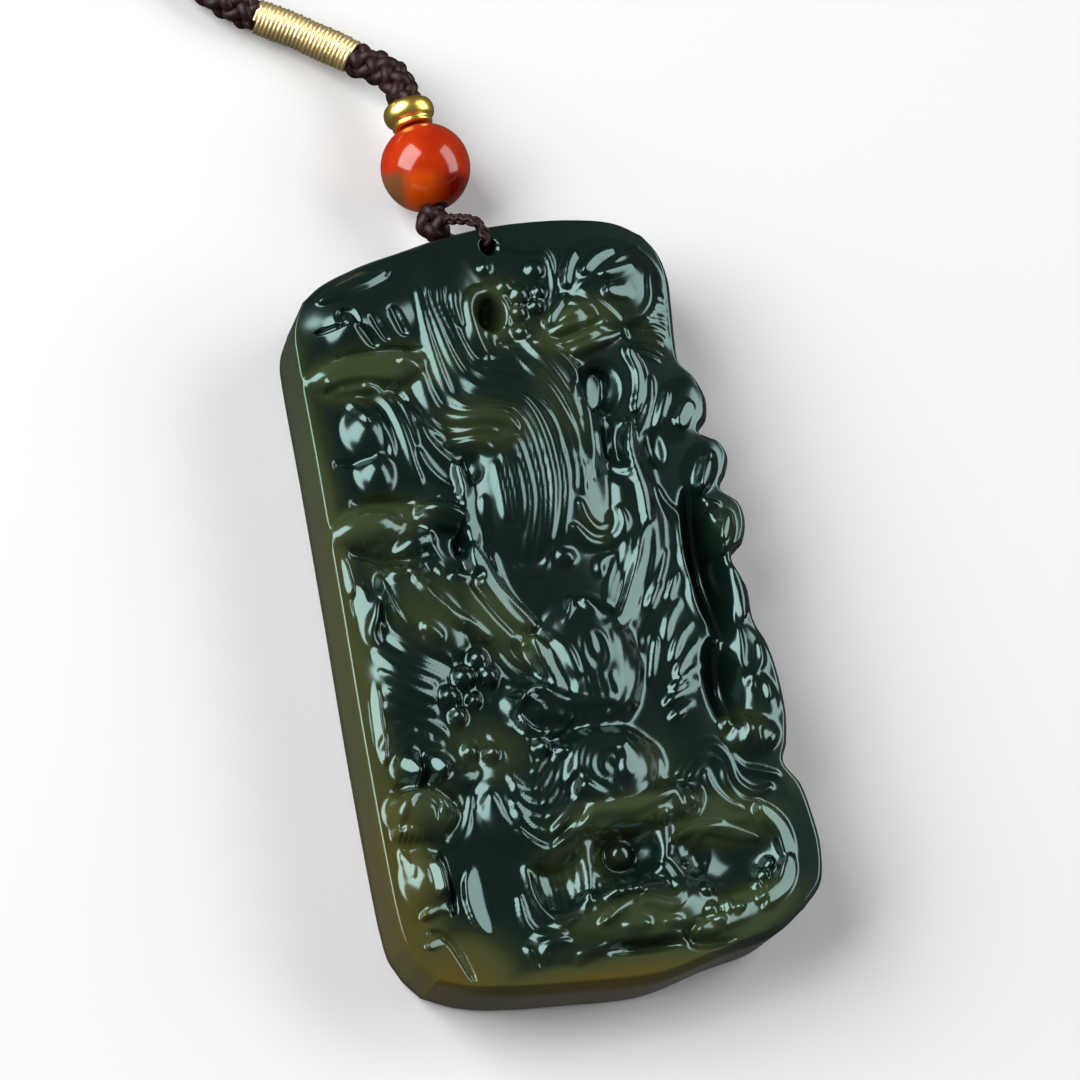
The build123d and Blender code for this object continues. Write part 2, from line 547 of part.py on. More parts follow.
# The neck cord's two halves, from the knot where the braid divides to where they meet at the nape
neck_level = neck_cord_diameter / 2
divide = braid_route[-1]
nape = (-168.5, 207.5, neck_level)
neck_nodes = {
    "neck_cord_left": (neck_cord_diameter, [
        divide, (-50.5, 78.5, neck_level), (-75.7, 70.6, neck_level), (-106.0, 64.6, neck_level),
        (-140.7, 69.8, neck_level), (-170.4, 87.7, neck_level), (-189.2, 120.4, neck_level),
        (-192.0, 157.0, neck_level), (-185.0, 190.0, neck_level), nape,
    ]),
    "neck_cord_right": (neck_cord_diameter, [
        divide, (-31.4, 99.0, neck_level), (-23.8, 124.7, neck_level), (-19.3, 156.0, neck_level),
        (-26.8, 189.0, neck_level), (-47.5, 218.0, neck_level), (-81.4, 234.4, neck_level),
        (-119.0, 236.0, neck_level), (-152.0, 225.0, neck_level),
        tuple(Vector(*nape) + Vector(seat_clearance, seat_clearance, 0)),
    ]),
}

with BuildPart() as cord_knot:
    with BuildSketch(Plane(origin=divide, z_dir=Vector(*divide) - Vector(*braid_route[-2]))):
        Circle(divide_knot_diameter / 2)
    extrude(amount=divide_knot_diameter / 2, both=True)
    fillet(cord_knot.edges(), divide_knot_diameter * 0.35)

# The cords end just clear of the knot, so it is cut from them a little larger
knot_cutter = cord_knot.part.scale(1 + 2 * seat_clearance / divide_knot_diameter, divide)

pieces = {
    "dragon_plaque": dragon_plaque,
    "agate_bead": agate_bead,
    "bead_knot": bead_knot,
    "gold_spacer": gold_spacer,
    "bead_thread": bead_thread,
    "loop_cord": loop_cord,
    "cord_knot": cord_knot,
}

for name, (diameter, route) in (braid_nodes | neck_nodes).items():
    with BuildPart() as cord:
        with BuildLine():
            path = FilletPolyline(*route, radius=bend_radii(route, diameter, name))
        with BuildSketch(Plane(origin=route[0], z_dir=path % 0)):
            Circle(diameter / 2)
        sweep()
        share = cord.part.volume / (path.length * np.pi * diameter**2 / 4)
        print(name, "length", round(path.length, 1), "share of section times length", round(share, 4))
        add(knot_cutter, mode=Mode.SUBTRACT)
    pieces[name] = cord

for name, piece in pieces.items():
    piece.part.label = name
    export_step(piece.part, f"parts/{name}.step")
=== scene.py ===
"""Jade dragon pendant lying face up on its cord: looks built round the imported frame.

Metres, +Z up, +Y towards the top of the plaque. The origin is near the middle of its flat back.
"""

import json
from collections import namedtuple

import bmesh
import bpy
import numpy as np
from mathutils import Matrix, Vector

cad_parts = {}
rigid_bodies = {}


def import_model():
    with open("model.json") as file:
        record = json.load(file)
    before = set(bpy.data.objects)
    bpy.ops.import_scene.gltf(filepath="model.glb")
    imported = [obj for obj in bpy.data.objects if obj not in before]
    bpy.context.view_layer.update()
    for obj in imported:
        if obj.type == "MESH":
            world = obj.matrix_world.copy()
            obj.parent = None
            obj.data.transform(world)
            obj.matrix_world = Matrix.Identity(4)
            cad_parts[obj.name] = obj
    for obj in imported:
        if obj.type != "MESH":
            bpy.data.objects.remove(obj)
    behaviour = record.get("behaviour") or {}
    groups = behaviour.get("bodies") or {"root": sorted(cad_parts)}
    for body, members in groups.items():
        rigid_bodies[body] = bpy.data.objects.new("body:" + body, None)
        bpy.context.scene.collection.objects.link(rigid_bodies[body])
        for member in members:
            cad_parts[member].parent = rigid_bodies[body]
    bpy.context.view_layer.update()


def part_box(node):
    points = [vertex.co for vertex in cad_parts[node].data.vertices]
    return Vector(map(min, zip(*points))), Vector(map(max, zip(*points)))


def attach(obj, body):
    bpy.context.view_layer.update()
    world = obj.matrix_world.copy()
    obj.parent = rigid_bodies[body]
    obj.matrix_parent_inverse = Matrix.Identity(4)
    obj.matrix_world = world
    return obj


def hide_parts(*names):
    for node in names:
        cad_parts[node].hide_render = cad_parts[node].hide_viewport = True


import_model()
mm = 0.001

# Dragon plaque. One slab of dark green jade with a plain polished back and left wall. Its face is
# carved in low relief from a squared drawing, smoothed and polished, and a slanted hole near the
# top edge takes the cord.
plaque_low, plaque_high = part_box("dragon_plaque")
squares_deep = 13.0
middle_x, middle_y = 0.2, 0.4
cells_across, cells_along = 224, 408

# The outline in squares, each side from its lower or left end
left_side = [
    (-17.4, -32.8), (-19.0, -30.4), (-19.8, -26.5), (-19.6, -12.0), (-19.1, 2.0),
    (-18.7, 15.0), (-18.5, 24.5), (-18.2, 27.8), (-17.0, 30.3),
]
right_side = [
    (16.7, -31.9), (18.8, -29.8), (19.6, -26.5), (19.5, -23.2), (19.1, -20.6), (18.0, -18.4),
    (18.7, -16.6), (19.3, -13.8), (19.4, -10.4), (19.1, -7.4), (18.3, -4.8), (18.4, -1.8),
    (17.6, 1.2), (18.9, 2.4), (19.7, 4.4), (19.5, 6.4), (18.1, 7.8), (18.9, 9.2),
    (19.5, 10.9), (18.9, 12.5), (17.3, 13.4), (18.3, 14.7), (18.7, 16.7), (18.1, 18.9),
    (17.0, 20.4), (17.1, 22.8), (17.5, 25.8), (17.8, 28.8), (17.4, 31.4), (16.2, 33.4),
]
bottom_side = [
    (-17.4, -32.8), (-14.4, -34.2), (-10.8, -35.0), (-5.0, -35.6), (2.2, -36.0), (8.6, -34.7),
    (13.4, -33.8), (16.7, -31.9),
]
top_side = [
    (-17.0, 30.3), (-14.8, 31.9), (-11.2, 33.4), (-7.0, 34.4), (-3.0, 35.3), (1.5, 35.9),
    (6.0, 36.0), (10.2, 35.7), (13.6, 35.0), (16.2, 33.4),
]

# Swelling forms: centre, half sizes, turn in degrees, top level, fall at the half size, fullness
Swell = namedtuple("Swell", "x y across along turn top fall fullness")
swells = {
    "field": Swell(0, 0, 25, 48, 0, 9.4, 0.3, 6),
    "cloud_bank": Swell(-11.2, 27.9, 5.6, 3.8, 0, 10.7, 1.1, 2),
    "cloud_lump": Swell(-13.4, 26.9, 2.1, 2.3, 0, 11.1, 1.2, 2),
    "broad_band": Swell(-12.5, 22.8, 5.5, 1.9, 2, 10.8, 1.0, 6),
    "left_lump_a": Swell(-13.7, 17.0, 1.9, 2.4, 10, 10.9, 1.1, 2),
    "left_lump_b": Swell(-13.6, 13.2, 1.7, 2.2, 0, 10.8, 1.1, 2),
    "left_falls": Swell(-11, 15.5, 4.5, 6, 0, 10.2, 1.2, 2),
    "mane_top": Swell(-4.4, 25.5, 3.8, 7, -8, 10.2, 0.6, 4),
    "mane_mid": Swell(0.6, 17.0, 6.6, 6, -35, 10.7, 1.0, 4),
    "mane_low": Swell(0.9, 9.5, 6.0, 6.5, 0, 10.7, 1.0, 4),
    "mane_right": Swell(4.6, 18, 3.2, 7.0, 12, 10.6, 1.0, 4),
    "paw": Swell(11.6, 28.2, 4.6, 4.2, 0, 10.9, 1.2, 3),
    "paw_leaf": Swell(7.2, 25.7, 3.0, 1.6, 18, 10.8, 1.6, 2),
    "paw_bands": Swell(8.2, 23.2, 3.6, 1.4, 15, 10.4, 1.4, 2),
    "comb": Swell(14.6, 23.8, 1.6, 4.0, 28, 9.6, 1.2, 2),
    "lobe_1": Swell(15.6, 15.6, 2.4, 3.6, -32, 9.8, 1.0, 4),
    "lobe_2": Swell(16.4, 9.6, 2.2, 3.4, -28, 9.5, 1.0, 4),
    "lobe_3": Swell(16.9, 3.7, 2.2, 3.2, -25, 9.2, 1.0, 4),
    "right_rim": Swell(17.4, -2.4, 1.3, 4.2, 0, 9.0, 1.4, 2),
    "right_cloud_a": Swell(16.7, -8.0, 1.9, 3.4, 8, 9.8, 1.0, 4),
    "right_cloud_b": Swell(17.0, -12.6, 1.8, 2.4, 0, 9.9, 1.0, 4),
    "right_paw": Swell(15.2, -15.6, 2.9, 2.4, 0, 10.6, 1.6, 2),
    "forehead": Swell(2.0, -0.4, 3.4, 4.4, 0, 9.8, 0.2, 4),
    "left_horn_bed": Swell(-7.4, -0.6, 4.2, 2.4, -42, 10.6, 0.5, 4),
    "curl_leaf": Swell(-8.4, 8.3, 2.6, 1.5, -18, 11.0, 1.4, 3),
    "left_olive": Swell(-15.6, 8.2, 3.4, 1.7, 5, 10.8, 1.4, 3),
    "curl_inner": Swell(-11.6, 6.2, 2.3, 1.4, 25, 10.6, 1.4, 2),
    "ear_leaf": Swell(-12.2, -0.2, 3.0, 4.8, 28, 11.0, 0.9, 4),
    "ear_edge": Swell(-16.6, 0.2, 1.3, 3.2, -12, 10.3, 1.2, 2),
    "ear_ribs": Swell(-14.4, -6.0, 4.2, 4.8, 25, 10.4, 1.4, 2),
    "bridge": Swell(1.8, -7.2, 3.8, 5.4, 0, 11.4, 0.8, 4),
    "nose": Swell(1.0, -16.8, 4.2, 3.5, 0, 11.8, 1.1, 4),
    "cheek_left": Swell(-5.2, -17.8, 4.4, 5.4, 20, 10.4, 0.5, 4),
    "eye_left": Swell(-3.2, -10.4, 3.0, 2.0, -15, 11.4, 1.2, 2),
    "upper_lip": Swell(1.8, -20.6, 6.2, 1.9, 0, 11.2, 0.8, 4),
    "lower_jaw": Swell(1.2, -30.0, 6.0, 2.6, 0, 10.6, 0.7, 4),
    "chin": Swell(-5.0, -31.6, 4.2, 1.8, 0, 10.0, 0.6, 4),
    "left_plane": Swell(-16.8, -24.2, 2.0, 2.7, 0, 11.0, 1.4, 2),
    "lower_left_curl": Swell(-16.0, -18.2, 2.9, 2.2, -8, 11.6, 1.6, 2.6),
    "lump_c": Swell(-16.2, -14.0, 1.7, 1.7, 0, 10.9, 1.6, 2),
    "lump_d": Swell(-13.9, -14.5, 1.7, 1.5, 0, 10.9, 1.6, 2),
    "leaf_d": Swell(-12.9, -15.8, 2.6, 1.1, 10, 10.2, 0.5, 4),
    "feathers": Swell(11.0, -6.0, 3.4, 8.4, -8, 9.6, 0.3, 6),
    "horn_bed_right": Swell(9.3, 6, 2.4, 8, -5, 10.2, 0.8, 4),
}

# Hollows cut below the ground: centre, half sizes, turn in degrees, depth
Hollow = namedtuple("Hollow", "x y across along turn depth")
hollows = {
    "swirl_pit": Hollow(-0.2, 27.0, 1.5, 1.9, 0, 2.6),
    "rough_hollow": Hollow(8.4, 18.7, 2.2, 2.9, -12, 1.5),
    "side_recess": Hollow(14.7, 0.5, 1.9, 8.0, 0, 3.4),
    "recess_low": Hollow(13.7, -10.5, 1.9, 4.5, 0, 2.8),
    "under_curl": Hollow(-5.0, 12.6, 1.1, 1.7, 0, 0.8),
    "mouth": Hollow(1.4, -24.6, 3.2, 2.8, 0, 2.4),
    "mouth_left": Hollow(-5.2, -26.2, 2.6, 2.9, -10, 1.4),
    "mouth_right": Hollow(7.4, -25.6, 1.8, 2.2, 0, 1.0),
    "ring_hollow": Hollow(11.2, -26.6, 4.6, 3.4, 10, 1.8),
    "slot_right": Hollow(8.6, 12.6, 1.4, 3.6, 0, 1.0),
    "slot_horn": Hollow(-7.4, 5.4, 0.9, 1.2, 0, 1.2),
    "right_slot_b": Hollow(12.4, 12.2, 1.0, 2.0, 0, 0.8),
    "bottom_slot": Hollow(1.0, -33.0, 4.0, 0.7, -4, 1.2),
}

# Polished facets: half width, rise above what lies there, slopes rightwards and upwards, places
Facet = namedtuple("Facet", "half_width rise rightwards upwards places")
facets = {
    "horn_right_top": Facet(0.6, 0.5, -0.3, 0.0, [(10.6, 15.2), (9.9, 12.0), (10.3, 8.0), (9.9, 4.6)]),
    "horn_right": Facet(0.9, 0.5, -0.36, 0.19, [
        (10.0, 4.8), (8.8, 1.8), (7.5, -0.8), (6.5, -2.6), (5.2, -4.2),
    ]),
    "left_horn_top": Facet(0.8, 0.6, -0.3, 0.0, [(-6.2, 13.0), (-5.9, 10.0), (-5.9, 7.4), (-6.4, 5.0)]),
    "left_horn": Facet(1.05, 0.6, -0.28, -0.02, [
        (-6.7, 5.0), (-6.1, 2.4), (-5.1, 0.0), (-4.0, -1.6), (-2.6, -3.0),
    ]),
    "left_horn_arm": Facet(0.4, 0.4, -0.3, 0.0, [(-9.2, 2.8), (-7.8, 2.4), (-6.4, 2.2)]),
    "left_horn_low": Facet(0.95, 0.4, -0.28, 0.0, [(-3.1, -4.2), (-2.3, -6.4), (-1.6, -8.2), (-1.0, -9.6)]),
    "horn_knob": Facet(0.6, 0.5, -0.3, 0.05, [(11.9, 22.0), (12.6, 20.0), (12.4, 18.0), (11.4, 16.0)]),
    "shard_left": Facet(0.4, 0.3, -0.3, 0.1, [(1.2, -0.8), (0.9, -2.2), (0.2, -3.4)]),
    "shard_right": Facet(0.5, 0.3, -0.3, -0.05, [(2.1, -1.2), (3.1, -2.4), (3.9, -3.6)]),
    "bridge_leaf": Facet(0.4, 0.2, -0.3, 0.0, [(2.0, -4.8), (2.0, -6.6)]),
    "nose_tip": Facet(0.85, 0.2, -0.3, 0.0, [(2.6, -15.4), (3.0, -16.6), (2.4, -17.9)]),
    "rough_patch": Facet(1.1, 0.1, -0.3, 0.0, [(7.8, 17.4), (8.8, 20.2)]),
    "petal_oval": Facet(0.85, 0.3, -0.3, 0.0, [(10.9, 27.3), (13.2, 27.2)]),
    "petal_leaf": Facet(0.6, 0.4, -0.3, 0.1, [(7.4, 28.6), (8.2, 30.6), (9.1, 32.0)]),
    "petal_wedge": Facet(0.6, 0.4, -0.25, 0.1, [(9.0, 29.5), (10.6, 30.8), (12.6, 31.6)]),
    "petal_wedge_low": Facet(0.45, 0.3, -0.25, 0.1, [(10.6, 28.9), (12.4, 29.4), (14.0, 29.8)]),
    "leaf": Facet(0.6, 0.3, -0.3, 0.15, [(5.0, 25.2), (6.2, 26.4), (7.1, 27.7)]),
    "lobe_patch_mid": Facet(0.6, 0.2, -0.3, 0.1, [(16.0, 7.8), (17.2, 10.0)]),
    "lobe_patch_low": Facet(0.5, 0.2, -0.3, 0.1, [(16.6, 2.6), (17.6, 4.6)]),
    "lobe_patch": Facet(0.75, 0.3, -0.3, 0.1, [(15.2, 14.0), (16.6, 15.9)]),
    "jaw_patch": Facet(1.0, 0.2, -0.3, 0.0, [(-12.6, -24.0), (-12.9, -26.8), (-12.3, -29.4)]),
    "flute": Facet(0.65, 0.3, 0.7, -0.05, [(-16.2, -22.8), (-16.0, -25.6)]),
    "rim_patch": Facet(0.75, 0.2, 0.7, -0.05, [(-17.6, 0.2), (-17.5, 3.0)]),
    "rim_strip": Facet(0.35, 0.2, 0.7, -0.05, [(-18.3, 5.8), (-18.1, 2.4)]),
    "rim_strip_low": Facet(0.55, 0.2, 0.7, -0.05, [(-17.9, -6.2), (-18.2, -9.4), (-18.4, -13.0)]),
    "ring_band": Facet(0.9, 0.6, -0.32, 0.08, [(14.2, -22.4), (15.9, -24.6), (16.2, -27.6)]),
    "ring_band_low": Facet(0.9, 0.6, -0.3, 0.2, [(16.1, -27.4), (15.0, -29.6), (12.2, -31.2)]),
    "ring_band_end": Facet(0.8, 0.6, -0.2, 0.02, [(12.6, -31.0), (9.2, -31.9), (6.0, -32.6)]),
    "gum_left": Facet(0.45, 0.2, -0.3, 0.1, [(-3.1, -27.6), (-3.3, -29.4)]),
    "gum_arc": Facet(0.4, 0.2, -0.3, 0.1, [(-1.4, -28.6), (-0.4, -27.6), (1.0, -27.8)]),
    "gum_arc_low": Facet(0.4, 0.2, -0.3, 0.1, [(-2.4, -30.6), (-0.8, -29.6), (1.2, -29.2)]),
    "gum_right": Facet(0.4, 0.2, -0.3, 0.0, [(4.2, -26.0), (4.9, -28.6)]),
    "eave": Facet(0.42, 0.3, -0.3, 0.1, [(-17.8, -27.3), (-16.4, -26.8), (-15.1, -27.0)]),
    "corner_light": Facet(0.42, 0.2, -0.3, 0.1, [(-17.8, -29.9), (-16.2, -29.5)]),
    "wall_strip": Facet(0.4, 0.2, 0.7, -0.05, [(-18.5, -21.4), (-18.0, -23.6)]),
    "curl_light": Facet(0.36, 0.3, -0.3, 0.1, [(-18.8, -19.7), (-16.2, -20.3), (-14.4, -20.7)]),
    "feather_1": Facet(0.35, 0.3, -0.35, 0.2, [(8.4, -2.8), (10.0, -0.6)]),
    "feather_2": Facet(0.35, 0.3, -0.35, 0.2, [(10.3, -2.4), (11.6, 0.0)]),
    "feather_3": Facet(0.42, 0.3, -0.35, 0.2, [(9.2, -6.0), (10.0, -4.2), (11.4, -2.6)]),
    "feather_4": Facet(0.42, 0.3, -0.35, 0.2, [(9.4, -8.0), (10.6, -6.0), (12.2, -4.8)]),
    "feather_5": Facet(0.42, 0.3, -0.35, 0.2, [(9.4, -9.4), (11.0, -7.6), (12.6, -6.5)]),
    "feather_6": Facet(0.38, 0.3, -0.35, 0.2, [(8.8, -10.6), (10.6, -9.4), (12.6, -8.6)]),
    "feather_7": Facet(0.42, 0.3, -0.35, 0.2, [(8.0, -11.8), (9.8, -11.0), (12.0, -10.1)]),
    "feather_8": Facet(0.35, 0.3, -0.35, 0.2, [(8.2, -13.2), (9.8, -12.4), (11.0, -12.0)]),
    "feather_9": Facet(0.3, 0.3, -0.35, 0.2, [(7.2, -9.4), (7.8, -7.4), (8.4, -5.6)]),
    "strand_1": Facet(0.3, 0.3, -0.3, 0.2, [(-4.9, -23.0), (-3.4, -22.2), (-1.8, -20.4)]),
    "strand_2": Facet(0.32, 0.3, -0.3, 0.2, [(-5.0, -21.9), (-3.6, -20.8), (-1.9, -18.6)]),
    "strand_3": Facet(0.32, 0.3, -0.3, 0.2, [(-5.3, -20.7), (-3.8, -19.6), (-2.0, -17.3)]),
    "strand_4": Facet(0.32, 0.3, -0.3, 0.2, [(-5.5, -19.4), (-4.0, -18.2), (-2.5, -15.9)]),
    "strand_5": Facet(0.3, 0.3, -0.3, 0.2, [(-5.7, -18.0), (-4.6, -17.0), (-3.2, -15.2)]),
    "strand_6": Facet(0.28, 0.3, -0.3, 0.2, [(-5.8, -16.6), (-4.8, -15.6), (-3.6, -14.2)]),
    "strand_1_left": Facet(0.26, 0.3, -0.2, -0.08, [(-8.2, -21.0), (-6.8, -22.6), (-5.2, -23.1)]),
    "strand_2_left": Facet(0.28, 0.3, -0.2, -0.08, [(-8.3, -19.6), (-6.8, -21.2), (-5.2, -22.0)]),
    "strand_3_left": Facet(0.28, 0.3, -0.2, -0.08, [(-8.1, -18.5), (-6.9, -20.0), (-5.5, -20.7)]),
    "strand_4_left": Facet(0.28, 0.3, -0.2, -0.08, [(-7.8, -17.4), (-6.9, -18.8), (-5.7, -19.4)]),
    "strand_5_left": Facet(0.28, 0.3, -0.2, -0.08, [(-7.9, -16.2), (-7.0, -17.6), (-5.9, -18.0)]),
    "ear_line_a": Facet(0.3, 0.3, -0.25, -0.1, [(-13.0, 4.0), (-12.0, 1.6), (-10.6, -0.6), (-9.0, -2.4)]),
    "ear_line_b": Facet(0.3, 0.3, -0.25, -0.1, [(-10.9, 0.6), (-9.4, -1.0), (-7.8, -2.4), (-6.6, -3.8)]),
    "ear_line_c": Facet(0.3, 0.3, -0.3, 0.0, [(-15.6, 3.2), (-15.2, 1.0), (-14.4, -1.0), (-12.9, -2.8)]),
    "eye_rim": Facet(0.26, 0.4, -0.3, 0.05, [(-5.9, -11.2), (-4.9, -12.5), (-2.8, -12.9), (-0.6, -12.2)]),
    "eye_lid": Facet(0.26, 0.4, -0.3, 0.05, [(-5.7, -10.2), (-4.6, -9.0), (-3.2, -9.1), (-2.0, -10.1)]),
    "eye_light": Facet(0.35, 0.2, -0.3, 0.1, [(-4.9, -9.6), (-3.2, -11.0)]),
    "eye_light_in": Facet(0.3, 0.2, -0.3, 0.1, [(-4.3, -10.9), (-2.2, -11.8)]),
    "lip_band": Facet(0.7, 0.3, -0.3, 0.1, [(-2.0, -18.4), (-0.8, -19.2), (1.0, -19.8)]),
    "leaf_facet": Facet(0.8, 0.2, 0.7, -0.05, [(-16.7, -13.6), (-16.0, -15.0)]),
    "leaf_facet_in": Facet(0.8, 0.2, 0.7, -0.05, [(-14.3, -13.7), (-13.7, -15.0)]),
    "cheek_facet": Facet(0.5, 0.2, 0.6, -0.05, [(-9.0, -13.7), (-8.5, -14.3)]),
    "temple_facet": Facet(0.45, 0.2, 0.6, -0.05, [(-4.5, -13.6), (-4.4, -15.0)]),
    "toe_facet": Facet(0.55, 0.2, -0.3, 0.1, [(13.4, -13.6), (13.0, -15.2)]),
}

